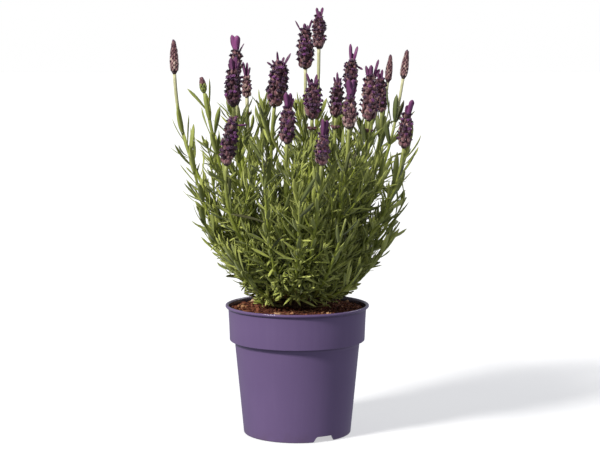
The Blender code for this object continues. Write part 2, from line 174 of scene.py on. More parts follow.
def skeleton():
    tips, axes, heads = [], [], []
    for x, y, z, body, width, lean, ears, ear, bare in FLOWER_HEADS:
        base = np.array([x, y, z]) * 0.001
        axis = head_axis(base[0], base[1], lean)
        heads.append((base, axis, body * 0.001, width * 0.0005, ears, ear * 0.001))
        tips.append(base - axis * HEAD_GAP)
        axes.append(axis)
    for x, y, z in LEAFY_SHOOTS:
        tip = np.array([x, y, z]) * 0.001
        splay = np.interp(tip[2], [0.15, 0.24], [8.0, 2.2])
        axis = np.array([tip[0] * splay, tip[1] * splay, 0.9])
        tips.append(tip)
        axes.append(axis / np.linalg.norm(axis))
    headings = spread_headings(np.array([stem_heading(tip) for tip in tips]))
    lines = np.array([stem_line(*row) for row in zip(tips, axes, headings)])
    stems, count = lines.shape[:2]
    owner = np.repeat(np.arange(stems), count)
    place = np.tile(np.arange(count), stems)
    free = (place > 1) & (place < count - 6)
    balls, radii, of = [], [], []
    for i, (base, axis, body, half, ears, ear) in enumerate(heads):
        for t in np.linspace(0.05, 1.0, 9):
            balls.append(base + axis * (body + 0.5 * ear) * t)
            radii.append(half + 0.0026)
            of.append(i)
    balls, radii, of = np.array(balls), np.array(radii), np.array(of)
    for step in range(90):
        points = lines.reshape(-1, 3)
        apart = points[:, None, :] - points[None, :, :]
        distance = np.sqrt((apart**2).sum(2)) + 1e-9
        close = np.clip(STEM_CLEARANCE - distance, 0, None)
        close[owner[:, None] == owner[None, :]] = 0
        push = (apart / distance[:, :, None] * close[:, :, None] * 0.35).sum(1)
        off = points[:, None, :] - balls[None, :, :]
        gap = np.sqrt((off**2).sum(2)) + 1e-9
        inside = np.clip(radii[None, :] - gap, 0, None)
        inside[owner[:, None] == of[None, :]] = 0
        push += (off / gap[:, :, None] * inside[:, :, None] * 0.5).sum(1)
        push[~free] = 0
        push = push.reshape(stems, count, 3)
        smooth = push.copy()
        for _ in range(4):
            smooth[:, 1:-1] = (smooth[:, :-2] + 2 * smooth[:, 1:-1] + smooth[:, 2:]) / 4
        lines = lines + 0.5 * push + 0.9 * smooth * free.reshape(stems, count, 1)
        inner = lines[:, 1:-1]
        mean = (lines[:, :-2] + lines[:, 2:]) / 2
        lines[:, 1:-1] = inner + 0.08 * (mean - inner)
    return lines, heads


def unit(v):
    return v / (np.linalg.norm(v, axis=-1, keepdims=True) + 1e-12)


def arc_lengths(line):
    return np.concatenate([[0.0], np.cumsum(np.linalg.norm(np.diff(line, axis=0), axis=1))])


def sample(line, lengths, s):
    return np.stack([np.interp(s, lengths, line[:, k]) for k in range(3)], -1)


def frames_along(line, stations, first=(0.31, 0.95, 0.05)):
    """Positions, tangents and two side directions along a line, without twist."""
    lengths = arc_lengths(line)
    stations = np.asarray(stations, float)
    step = min(0.004, 0.25 * lengths[-1])
    pos = sample(line, lengths, stations)
    tan = unit(
        sample(line, lengths, np.minimum(stations + step, lengths[-1]))
        - sample(line, lengths, np.maximum(stations - step, 0.0))
    )
    one = np.zeros_like(pos)
    side = np.cross(tan[0], first)
    if np.linalg.norm(side) < 1e-3:
        side = np.cross(tan[0], (1.0, 0.2, 0.1))
    for k in range(len(stations)):
        side = side - tan[k] * (side @ tan[k])
        side = side / np.linalg.norm(side)
        one[k] = side
    return pos, tan, one, np.cross(tan, one)


# =====================================================================================
# Mesh building
# =====================================================================================
class Build:
    """Gathers many small closed shapes into one mesh, with four numbers per vertex."""

    def __init__(self):
        self.verts, self.looks, self.faces, self.slots, self.count = [], [], [], [], 0

    def add(self, verts, faces, look, slot=0):
        verts = np.asarray(verts, float).reshape(-1, 3)
        look = np.broadcast_to(np.asarray(look, float), (len(verts), 4))
        self.verts.append(verts)
        self.looks.append(look)
        for group in faces if isinstance(faces, (list, tuple)) else [faces]:
            group = np.asarray(group, int)
            self.faces.append(group + self.count)
            self.slots.append(np.full(len(group), slot, int))
        self.count += len(verts)

    def make(self, name, materials, smooth=True, sharp=None):
        mesh = bpy.data.meshes.new(name)
        verts = np.concatenate(self.verts)
        looks = np.concatenate(self.looks)
        sizes = np.concatenate([np.full(len(f), f.shape[1], int) for f in self.faces])
        corners = np.concatenate([f.reshape(-1) for f in self.faces])
        slots = np.concatenate(self.slots)
        mesh.vertices.add(len(verts))
        mesh.vertices.foreach_set("co", verts.astype(np.float32).reshape(-1))
        mesh.loops.add(len(corners))
        mesh.loops.foreach_set("vertex_index", corners.astype(np.int32))
        mesh.polygons.add(len(sizes))
        starts = np.concatenate([[0], np.cumsum(sizes)[:-1]])
        mesh.polygons.foreach_set("loop_start", starts.astype(np.int32))
        mesh.polygons.foreach_set("material_index", slots.astype(np.int32))
        mesh.update(calc_edges=True)
        layer = mesh.attributes.new("look", "FLOAT_COLOR", "POINT")
        layer.data.foreach_set("color", looks.astype(np.float32).reshape(-1))
        for material in materials:
            mesh.materials.append(material)
        if smooth:
            mesh.shade_smooth()
            if sharp is not None:
                mesh.set_sharp_from_angle(angle=math.radians(sharp))
        obj = bpy.data.objects.new(name, mesh)
        bpy.context.scene.collection.objects.link(obj)
        return obj


def ring_faces(rings, sides, offset=0):
    """Quads between consecutive rings of a tube."""
    k = np.arange(rings - 1)[:, None] * sides
    i = np.arange(sides)[None, :]
    j = (i + 1) % sides
    return (np.stack([k + i, k + j, k + sides + j, k + sides + i], -1) + offset).reshape(-1, 4)


def tube(b, pos, one, two, radii, look, slot=0, sides=8, square=0.0, phase=0.0, cap=True):
    """A closed tube round given positions. square from 0, round, to 1, four-cornered."""
    pos, one, two = (np.asarray(a, float) for a in (pos, one, two))
    n = len(pos)
    a = np.arange(sides) / sides * 2 * math.pi + phase
    shape = 1.0 + square * 0.16 * np.cos(4 * (a - math.pi / 4))
    radii = np.broadcast_to(np.asarray(radii, float), (n,))
    ring = (
        pos[:, None, :]
        + (np.cos(a) * shape)[None, :, None] * one[:, None, :] * radii[:, None, None]
        + (np.sin(a) * shape)[None, :, None] * two[:, None, :] * radii[:, None, None]
    )
    look = np.asarray(look, float)
    if look.ndim == 2:
        look = np.repeat(look, sides, axis=0)
    groups = [ring_faces(n, sides)]
    if cap:
        groups.append(np.arange(sides)[::-1][None, :])
        groups.append((np.arange(sides) + (n - 1) * sides)[None, :])
    b.add(ring.reshape(-1, 3), groups, look, slot)


# One cross-section of a leaf: a shallow channel along the midrib, margins rolled under.
LEAF_SECTION = np.array(
    [(-1.0, -0.16), (-0.60, 0.16), (0.0, 0.0), (0.60, 0.16), (1.0, -0.16), (0.0, -0.22)]
)
PLAIN_SECTION = np.array([(-1.0, -0.08), (0.0, 0.16), (1.0, -0.08), (0.0, -0.22)])


def blades(b, base, heading, upper, length, width, bend, twist, look, slot=0, stations=7,
           section=LEAF_SECTION, shape="leaf", thick=1.0, wave=0.0, wave_seed=None):
    """Closed leaf blades, all at once. heading is where each starts off, upper its top side."""
    base, heading, upper = (np.asarray(a, float) for a in (base, heading, upper))
    count, sides = len(base), len(section)
    if count == 0:
        return
    heading = unit(heading)
    upper = unit(upper - heading * (upper * heading).sum(1, keepdims=True))
    side = np.cross(heading, upper)
    s = np.linspace(0, 1, stations)
    mid = (s[1:] + s[:-1]) / 2
    bend = np.asarray(bend, float)[:, None]
    ang = bend * s[None, :] ** 1.25
    ang_mid = bend * mid[None, :] ** 1.25
    step = (np.asarray(length, float)[:, None] / (stations - 1))[:, :, None] * (
        np.cos(ang_mid)[:, :, None] * heading[:, None, :] + np.sin(ang_mid)[:, :, None] * upper[:, None, :]
    )
    spine = base[:, None, :] + np.concatenate([np.zeros((count, 1, 3)), np.cumsum(step, 1)], 1)
    normal = -np.sin(ang)[:, :, None] * heading[:, None, :] + np.cos(ang)[:, :, None] * upper[:, None, :]
    tw = (np.asarray(twist, float)[:, None] * s[None, :])[:, :, None]
    across = np.cos(tw) * side[:, None, :] + np.sin(tw) * normal
    normal = np.cos(tw) * normal - np.sin(tw) * side[:, None, :]
    if shape == "leaf":
        profile = 0.34 + 0.66 * np.clip(s / 0.34, 0, 1) ** 0.8
        profile = profile * (1 - 0.90 * np.clip((s - 0.66) / 0.34, 0, 1) ** 2.2)
    elif shape == "ear":
        profile = 0.42 + 0.58 * np.sin(np.clip(s / 0.62, 0, 1) * math.pi / 2) ** 1.2
        profile = profile * (1 - 0.74 * np.clip((s - 0.76) / 0.24, 0, 1) ** 2.4)
    elif shape == "petal":
        profile = 0.50 + 0.50 * np.sin(np.clip(s / 0.6, 0, 1) * math.pi / 2)
        profile = profile * (1 - 0.55 * np.clip((s - 0.6) / 0.4, 0, 1) ** 2.0)
    else:  # bract: broad at once, pointed
        profile = 0.55 + 0.45 * np.sin(np.clip(s / 0.5, 0, 1) * math.pi / 2)
        profile = profile * (1 - 0.92 * np.clip((s - 0.45) / 0.55, 0, 1) ** 1.5)
    half = np.asarray(width, float)[:, None] * 0.5 * profile[None, :]
    x = section[:, 0][None, None, :, None]
    z = section[:, 1][None, None, :, None] * thick
    h = half[:, :, None, None]
    # the margins keep their thickness where the blade narrows
    deep = np.maximum(half, 0.30 * half.max(1, keepdims=True))[:, :, None, None]
    if wave:
        phase = np.asarray(wave_seed, float)[:, None]
        ripple = wave * np.sin(9.0 * s[None, :] + phase * 6.28)[:, :, None, None] * np.sign(x) * np.abs(x) ** 1.5
        z = z + ripple
    ring = (
        spine[:, :, None, :]
        + across[:, :, None, :] * x * h
        + normal[:, :, None, :] * z * deep
    )
    look = np.asarray(look, float)
    full = np.zeros((count, stations, sides, 4))
    full[..., 0] = s[None, :, None]
    full[..., 1] = look[:, 1][:, None, None]
    full[..., 2] = (section[:, 1] < -0.2).astype(float)[None, None, :]
    full[..., 3] = look[:, 3][:, None, None]
    one = ring_faces(stations, sides)[:, ::-1]
    base_index = (np.arange(count) * stations * sides)[:, None, None]
    quads = (one[None] + base_index).reshape(-1, 4)
    start = (np.arange(sides)[None, :] + base_index[:, :, 0])
    end = (np.arange(sides)[::-1][None, :] + (stations - 1) * sides + base_index[:, :, 0])
    b.add(ring.reshape(-1, 3), [quads, start, end], full.reshape(-1, 4), slot)
    return spine


# =====================================================================================
# Materials
# =====================================================================================
class Nodes:
    def __init__(self, name):
        self.mat = bpy.data.materials.new(name)
        self.mat.use_nodes = True
        self.tree = self.mat.node_tree
        self.shader = self.tree.nodes["Principled BSDF"]

    def node(self, kind, **settings):
        n = self.tree.nodes.new(kind)
        for key, value in settings.items():
            setattr(n, key, value)
        return n

    def link(self, a, b):
        self.tree.links.new(a, b)

    def look(self):
        n = self.node("ShaderNodeAttribute", attribute_name="look")
        split = self.node("ShaderNodeSeparateColor")
        self.link(n.outputs["Color"], split.inputs["Color"])
        return split.outputs["Red"], split.outputs["Green"], split.outputs["Blue"], n.outputs["Alpha"]

    def place(self, scale=(1, 1, 1)):
        coords = self.node("ShaderNodeTexCoord")
        mapping = self.node("ShaderNodeMapping")
        mapping.inputs["Scale"].default_value = scale
        self.link(coords.outputs["Object"], mapping.inputs["Vector"])
        return mapping.outputs["Vector"]

    def noise(self, vector, scale, detail=3.0, rough=0.55, distortion=0.0):
        n = self.node("ShaderNodeTexNoise")
        n.inputs["Scale"].default_value = scale
        n.inputs["Detail"].default_value = detail
        n.inputs["Roughness"].default_value = rough
        n.inputs["Distortion"].default_value = distortion
        self.link(vector, n.inputs["Vector"])
        return n.outputs["Fac"]

    def ramp(self, value, stops, interpolation="LINEAR"):
        n = self.node("ShaderNodeValToRGB")
        n.color_ramp.interpolation = interpolation
        while len(n.color_ramp.elements) < len(stops):
            n.color_ramp.elements.new(0.5)
        for element, (at, colour) in zip(n.color_ramp.elements, stops):
            element.position = at
            element.color = (*colour, 1.0) if len(colour) == 3 else colour
        self.link(value, n.inputs["Fac"])
        return n.outputs["Color"]

    def mix(self, factor, a, b, blend="MIX"):
        n = self.node("ShaderNodeMix", data_type="RGBA", blend_type=blend)
        for socket, value in ((n.inputs["Factor"], factor), (n.inputs[6], a), (n.inputs[7], b)):
            if isinstance(value, (int, float)):
                socket.default_value = value
            elif isinstance(value, tuple):
                socket.default_value = (*value, 1.0)
            else:
                self.link(value, socket)
        return n.outputs[2]

    def math(self, operation, a, b=None, clamp=False):
        n = self.node("ShaderNodeMath", operation=operation, use_clamp=clamp)
        for socket, value in zip(n.inputs, (a, b)):
            if value is None:
                continue
            if isinstance(value, (int, float)):
                socket.default_value = value
            else:
                self.link(value, socket)
        return n.outputs["Value"]

    def spread(self, value, low, high, to_low=0.0, to_high=1.0):
        n = self.node("ShaderNodeMapRange")
        self.link(value, n.inputs["Value"])
        for key, v in (("From Min", low), ("From Max", high), ("To Min", to_low), ("To Max", to_high)):
            n.inputs[key].default_value = v
        return n.outputs["Result"]

    def bump(self, height, strength, distance):
        n = self.node("ShaderNodeBump")
        n.inputs["Strength"].default_value = strength
        n.inputs["Distance"].default_value = distance
        self.link(height, n.inputs["Height"])
        self.link(n.outputs["Normal"], self.shader.inputs["Normal"])

    def colour(self, socket):
        self.link(socket, self.shader.inputs["Base Color"])

    def rough(self, socket):
        if isinstance(socket, (int, float)):
            self.shader.inputs["Roughness"].default_value = socket
        else:
            self.link(socket, self.shader.inputs["Roughness"])

    def set(self, **values):
        for key, v in values.items():
            self.shader.inputs[key.replace("_", " ")].default_value = v


def rgb(r, g, b):
    """sRGB bytes to linear."""
    out = []
    for c in (r, g, b):
        c /= 255.0
        out.append(c / 12.92 if c <= 0.04045 else ((c + 0.055) / 1.055) ** 2.4)
    return tuple(out)


def leaf_material():
    m = Nodes("lavender_leaf")
    along, tone, under, rand = m.look()
    p = m.place()
    fine = m.noise(p, 900, 3)
    broad = m.noise(p, 60, 2)
    # tone runs from 0, old and shaded, to 1, young and bright
    shade = m.math("ADD", m.math("MULTIPLY", tone, 0.74), m.math("MULTIPLY", m.math("SUBTRACT", rand, 0.5), 0.42))
    shade = m.math("ADD", shade, m.math("MULTIPLY", m.math("SUBTRACT", broad, 0.5), 0.35), clamp=True)
    top = m.ramp(shade, [
        (0.0, rgb(66, 64, 32)), (0.07, rgb(62, 69, 29)), (0.26, rgb(106, 114, 48)), (0.50, rgb(150, 158, 72)), (0.76, rgb(178, 184, 92)),
        (1.0, rgb(192, 198, 108))])
    tip = m.spread(along, 0.82, 1.0, 0.0, 0.30)
    top = m.mix(tip, top, rgb(116, 104, 62))
    base = m.spread(along, 0.0, 0.20, 0.35, 0.0)
    top = m.mix(base, top, rgb(160, 166, 88))
    back = m.mix(0.45, top, rgb(126, 138, 84))
    colour = m.mix(under, top, back)
    felt = m.spread(fine, 0.42, 0.75, 0.0, 0.10)
    colour = m.mix(felt, colour, rgb(150, 158, 96))
    m.colour(colour)
    m.rough(m.spread(fine, 0.3, 0.7, 0.50, 0.68))
    m.set(Specular_IOR_Level=0.35, Sheen_Weight=0.10, Sheen_Roughness=0.5)
    m.shader.inputs["Subsurface Weight"].default_value = 0.0
    m.bump(fine, 0.25, 0.0002)
    return m.mat


def stalk_material():
    """Green stalk: look red runs from 0, woody foot, to 1, top; green is the tone."""
    m = Nodes("lavender_stalk")
    along, tone, ridge, rand = m.look()
    p = m.place((1, 1, 0.12))
    streak = m.noise(p, 1500, 3)
    blotch = m.noise(m.place(), 90, 3)
    wood = m.mix(m.spread(streak, 0.3, 0.7), rgb(70, 52, 34), rgb(124, 100, 70))
    green = m.mix(m.spread(streak, 0.3, 0.7), rgb(116, 128, 44), rgb(156, 164, 66))
    pale = m.mix(m.spread(streak, 0.3, 0.7), rgb(182, 180, 132), rgb(210, 206, 166))
    young = m.mix(m.math("MULTIPLY", m.spread(along, 0.70, 0.97), tone), green, pale)
    woody = m.spread(m.math("ADD", along, m.math("MULTIPLY", m.math("SUBTRACT", blotch, 0.5), 0.3)), 0.10, 0.34, 1.0, 0.0)
    m.colour(m.mix(woody, young, wood))
    m.rough(m.spread(woody, 0.0, 1.0, 0.48, 0.85))
    m.set(Specular_IOR_Level=0.4)
    m.bump(streak, 0.3, 0.00025)
    return m.mat


def bark_material():
    m = Nodes("lavender_bark")
    p = m.place((1, 1, 0.5))
    coarse = m.noise(p, 260, 5, 0.62, 0.6)
    fine = m.noise(m.place(), 1400, 3)
    m.colour(m.mix(m.spread(fine, 0.35, 0.8, 0.0, 0.4), m.ramp(coarse, [
        (0.25, rgb(44, 31, 22)), (0.5, rgb(92, 68, 46)), (0.75, rgb(138, 112, 82))]), rgb(150, 132, 104)))
    m.rough(0.88)
    m.set(Specular_IOR_Level=0.25)
    m.bump(coarse, 0.7, 0.0008)
    return m.mat


def bract_material():
    """Bracts and calyces: look green runs from 0, mauve brown, to 1, pale pinkish beige."""
    m = Nodes("lavender_bract")
    along, tone, under, rand = m.look()
    p = m.place()
    fuzz = m.noise(p, 1800, 3)
    vein = m.noise(m.place((1, 1, 0.35)), 900, 2)
    mixv = m.math("ADD", m.math("MULTIPLY", tone, 0.8), m.math("MULTIPLY", m.math("SUBTRACT", rand, 0.5), 0.45))
    body = m.ramp(mixv, [
        (0.0, rgb(58, 26, 38)), (0.30, rgb(116, 68, 78)), (0.62, rgb(174, 130, 126)), (1.0, rgb(224, 196, 178))])
    body = m.mix(m.spread(vein, 0.34, 0.58, 0.55, 0.0), body, rgb(58, 26, 42))
    body = m.mix(m.spread(along, 0.55, 1.0, 0.0, 0.55), body, rgb(84, 44, 66))
    body = m.mix(m.spread(fuzz, 0.50, 0.8, 0.0, 0.35), body, rgb(204, 176, 168))
    m.colour(body)
    m.rough(0.78)
    m.set(Specular_IOR_Level=0.3, Sheen_Weight=0.25, Sheen_Roughness=0.45)
    m.bump(fuzz, 0.5, 0.0002)
    return m.mat


def floret_material():
    m = Nodes("lavender_floret")
    along, tone, under, rand = m.look()
    fuzz = m.noise(m.place(), 1600, 2)
    body = m.mix(rand, rgb(38, 14, 36), rgb(68, 27, 58))
    body = m.mix(m.math("MULTIPLY", m.math("POWER", tone, 1.4), 0.95), body, rgb(124, 56, 120))
    m.colour(m.mix(m.spread(fuzz, 0.45, 0.8, 0.0, 0.25), body, rgb(96, 56, 104)))
    m.rough(m.spread(fuzz, 0.3, 0.7, 0.48, 0.66))
    m.set(Specular_IOR_Level=0.4, Sheen_Weight=0.15, Sheen_Roughness=0.5)
    m.bump(fuzz, 0.4, 0.0002)
    return m.mat


def ear_material():
    """Bract ears: look red along, green brightness."""
    m = Nodes("lavender_ear")
    along, tone, under, rand = m.look()
    vein = m.noise(m.place((1.0, 1.0, 0.07)), 1500, 2)
    body = m.ramp(tone, [(0.0, rgb(70, 32, 58)), (0.45, rgb(106, 50, 92)), (0.75, rgb(128, 56, 114)), (1.0, rgb(150, 70, 132))])
    dark = m.mix(0.55, body, rgb(56, 22, 56))
    body = m.mix(m.spread(vein, 0.40, 0.62, 0.75, 0.0), body, dark)
    body = m.mix(m.spread(along, 0.0, 0.35, 0.55, 0.0), body, rgb(72, 34, 70))
    m.colour(m.mix(m.math("MULTIPLY", under, 0.3), body, rgb(150, 100, 140)))
    m.rough(0.55)
    m.set(Specular_IOR_Level=0.35, Sheen_Weight=0.15, Sheen_Roughness=0.4)
    m.bump(vein, 0.35, 0.0003)
    return m.mat


def pot_material():
    m = Nodes("pot_plastic")
    p = m.place()
    cloud = m.noise(p, 14, 4, 0.5)
    grain = m.noise(p, 2600, 2)
    streak = m.noise(m.place((1, 1, 0.04)), 240, 3)
    scuff = m.noise(m.place((1, 1, 0.6)), 420, 5, 0.7, 1.2)
    colour = m.mix(m.spread(cloud, 0.3, 0.7), rgb(99, 80, 118), rgb(105, 85, 123))
    colour = m.mix(m.spread(streak, 0.45, 0.75, 0.0, 0.10), colour, rgb(118, 100, 136))
    colour = m.mix(m.spread(scuff, 0.66, 0.80, 0.0, 0.20), colour, rgb(140, 124, 156))
    # a little soil dust clings at the foot
    geo = m.node("ShaderNodeTexCoord")
    split = m.node("ShaderNodeSeparateXYZ")
    m.link(geo.outputs["Object"], split.inputs["Vector"])
    low = m.spread(split.outputs["Z"], 0.0, 0.010, 0.35, 0.0)
    dust = m.math("MULTIPLY", low, m.spread(m.noise(p, 90, 4), 0.4, 0.7))
    colour = m.mix(dust, colour, rgb(86, 66, 70))
    # the inside wall above the soil line is darkened brown, partly soil clinging there and partly painted shade of the
    # pot's interior; painted shade and painted shadow also sit on the lip's inner half, under the collar and under the
    # lip
    round_it = m.math("ADD", m.math("MULTIPLY", split.outputs["X"], split.outputs["X"]), m.math("MULTIPLY", split.outputs["Y"], split.outputs["Y"]))
    across = m.math("SQRT", round_it)
    taper = m.math("SUBTRACT", across, m.math("MULTIPLY", split.outputs["Z"], 0.057))
    # painted shade and soil smear: the inside wall above the soil is darkened brown
    inside = m.math("MULTIPLY", m.spread(taper, 0.05105, 0.05125, 1.0, 0.0), m.spread(split.outputs["Z"], 0.094, 0.098, 0.0, 1.0))
    soil_smear_and_painted_shade = m.math("MULTIPLY", inside, m.spread(m.noise(p, 170, 4, 0.7), 0.25, 0.60, 0.45, 0.92))
    colour = m.mix(soil_smear_and_painted_shade, colour, rgb(62, 40, 34))
    # painted shade: the top of the lip's inner half is darkened to maroon
    edge = m.math("MULTIPLY", m.spread(across, 0.0586, 0.0592, 0.75, 0.0), m.spread(split.outputs["Z"], 0.1064, 0.1069, 0.0, 1.0))
    colour = m.mix(edge, colour, rgb(66, 42, 54))
    # painted shadow: a dark band on the body just under the collar's overhang
    painted_collar_shadow = m.math("MULTIPLY", m.spread(split.outputs["Z"], 0.0764, 0.0785, 0.0, 0.55), m.spread(across, 0.0546, 0.0552, 1.0, 0.0))
    colour = m.mix(painted_collar_shadow, colour, rgb(38, 26, 44))
    # painted shadow: a dark line in the groove just under the lip
    under = m.math("MULTIPLY", m.spread(split.outputs["Z"], POT_HEIGHT - 0.0044, POT_HEIGHT - 0.0032, 0.0, 0.40),
                   m.spread(split.outputs["Z"], POT_HEIGHT - 0.0026, POT_HEIGHT - 0.0020, 1.0, 0.0))
    colour = m.mix(under, colour, rgb(44, 28, 48))
    m.colour(colour)
    # the lip is polished by handling
    lip = m.spread(split.outputs["Z"], POT_HEIGHT - 0.0030, POT_HEIGHT - 0.0022, 0.0, -0.20)
    matt = m.math("ADD", m.spread(grain, 0.3, 0.7, 0.36, 0.44), m.spread(scuff, 0.60, 0.80, 0.0, 0.18))
    m.rough(m.math("ADD", matt, lip))
    m.set(Specular_IOR_Level=0.5)
    m.bump(grain, 0.12, 0.00015)
    return m.mat


def soil_material():
    m = Nodes("potting_soil")
    p = m.place()
    coarse = m.noise(p, 240, 5, 0.65)
    fine = m.noise(p, 1500, 4, 0.7)
    base = m.ramp(coarse, [
        (0.22, rgb(38, 21, 15)), (0.42, rgb(84, 47, 34)), (0.58, rgb(120, 73, 52)), (0.78, rgb(154, 106, 76))])
    m.colour(m.mix(m.spread(fine, 0.35, 0.75, 0.0, 0.45), base, rgb(52, 28, 22)))
    m.rough(0.95)
    m.set(Specular_IOR_Level=0.2)
    m.bump(fine, 0.8, 0.0006)
    return m.mat


def crumb_material():
    """Crumbs and chips: look green picks dark peat, red-brown bark, tan wood or cream chip."""
    m = Nodes("soil_crumbs")
    along, tone, under, rand = m.look()
    p = m.place()
    fine = m.noise(p, 1300, 4, 0.7)
    body = m.ramp(tone, [
        (0.0, rgb(40, 22, 16)), (0.35, rgb(100, 54, 38)), (0.62, rgb(142, 86, 60)), (0.82, rgb(190, 142, 100)), (1.0, rgb(230, 208, 170))])
    m.colour(m.mix(m.spread(fine, 0.35, 0.75, 0.45, 0.0), body, rgb(52, 28, 22)))
    m.rough(0.9)
    m.set(Specular_IOR_Level=0.2)
    m.bump(fine, 0.8, 0.0004)
    return m.mat


def floor_material():
    m = Nodes("studio_floor")
    n = m.noise(m.place(), 3.0, 2)
    m.colour(m.mix(m.spread(n, 0.3, 0.7), (0.45, 0.45, 0.45), (0.47, 0.47, 0.47)))
    m.rough(0.9)
    m.set(Specular_IOR_Level=0.0, Emission_Strength=0.52)
    m.shader.inputs["Emission Color"].default_value = (1.0, 1.0, 1.0, 1.0)
    return m.mat


LEAF = leaf_material()
STALK = stalk_material()
BARK = bark_material()
BRACT = bract_material()
FLORET = floret_material()
EAR = ear_material()
POT = pot_material()
SOIL = soil_material()
CRUMB = crumb_material()
FLOOR = floor_material()


# =====================================================================================
# Pot
# =====================================================================================
def rounded(points, radius, steps):
    """A polyline with its corners rounded; radius per point, 0 keeps the corner."""
    out = []
    n = len(points)
    for i, p in enumerate(points):
        r = radius[i]
        if r == 0 or i in (0, n - 1):
            out.append(np.array(p, float))
            continue
        p = np.array(p, float)
        a, c = np.array(points[i - 1], float), np.array(points[i + 1], float)
        u, v = unit(a - p), unit(c - p)
        r = min(r, 0.45 * np.linalg.norm(a - p), 0.45 * np.linalg.norm(c - p))
        p0, p2 = p + u * r, p + v * r
        for t in np.linspace(0, 1, steps + 1):
            out.append((1 - t) ** 2 * p0 + 2 * (1 - t) * t * p + t * t * p2)
    return out


def revolve_build(b, profile, segments, slot=0, look=(0, 0, 0, 0)):
    """Turned closed surface; profile runs from pole to pole, in order."""
    verts, rings, at = [], [], 0
    for r, z in profile:
        if r < 1e-7:
            verts.append(np.array([[0, 0, z]]))
            rings.append((at, 1))
            at += 1
        else:
            a = np.arange(segments) / segments * 2 * math.pi
            verts.append(np.stack([r * np.cos(a), r * np.sin(a), np.full(segments, z)], -1))
            rings.append((at, segments))
            at += segments
    quads, tris = [], []
    i = np.arange(segments)
    j = (i + 1) % segments
    for (a, na), (c, nc) in zip(rings, rings[1:]):
        if na == 1:
            tris.append(np.stack([np.full(segments, a), c + j, c + i], -1))
        elif nc == 1:
            tris.append(np.stack([a + i, a + j, np.full(segments, c)], -1))
        else:
            quads.append(np.stack([a + i, a + j, c + j, c + i], -1))
    groups = [np.concatenate(quads)]
    if tris:
        groups.append(np.concatenate(tris))
    b.add(np.concatenate(verts), groups, look, slot)


def fix_normals(obj):
    bm = bmesh.new()
    bm.from_mesh(obj.data)
    bmesh.ops.recalc_face_normals(bm, faces=bm.faces[:])
    bm.to_mesh(obj.data)
    bm.free()


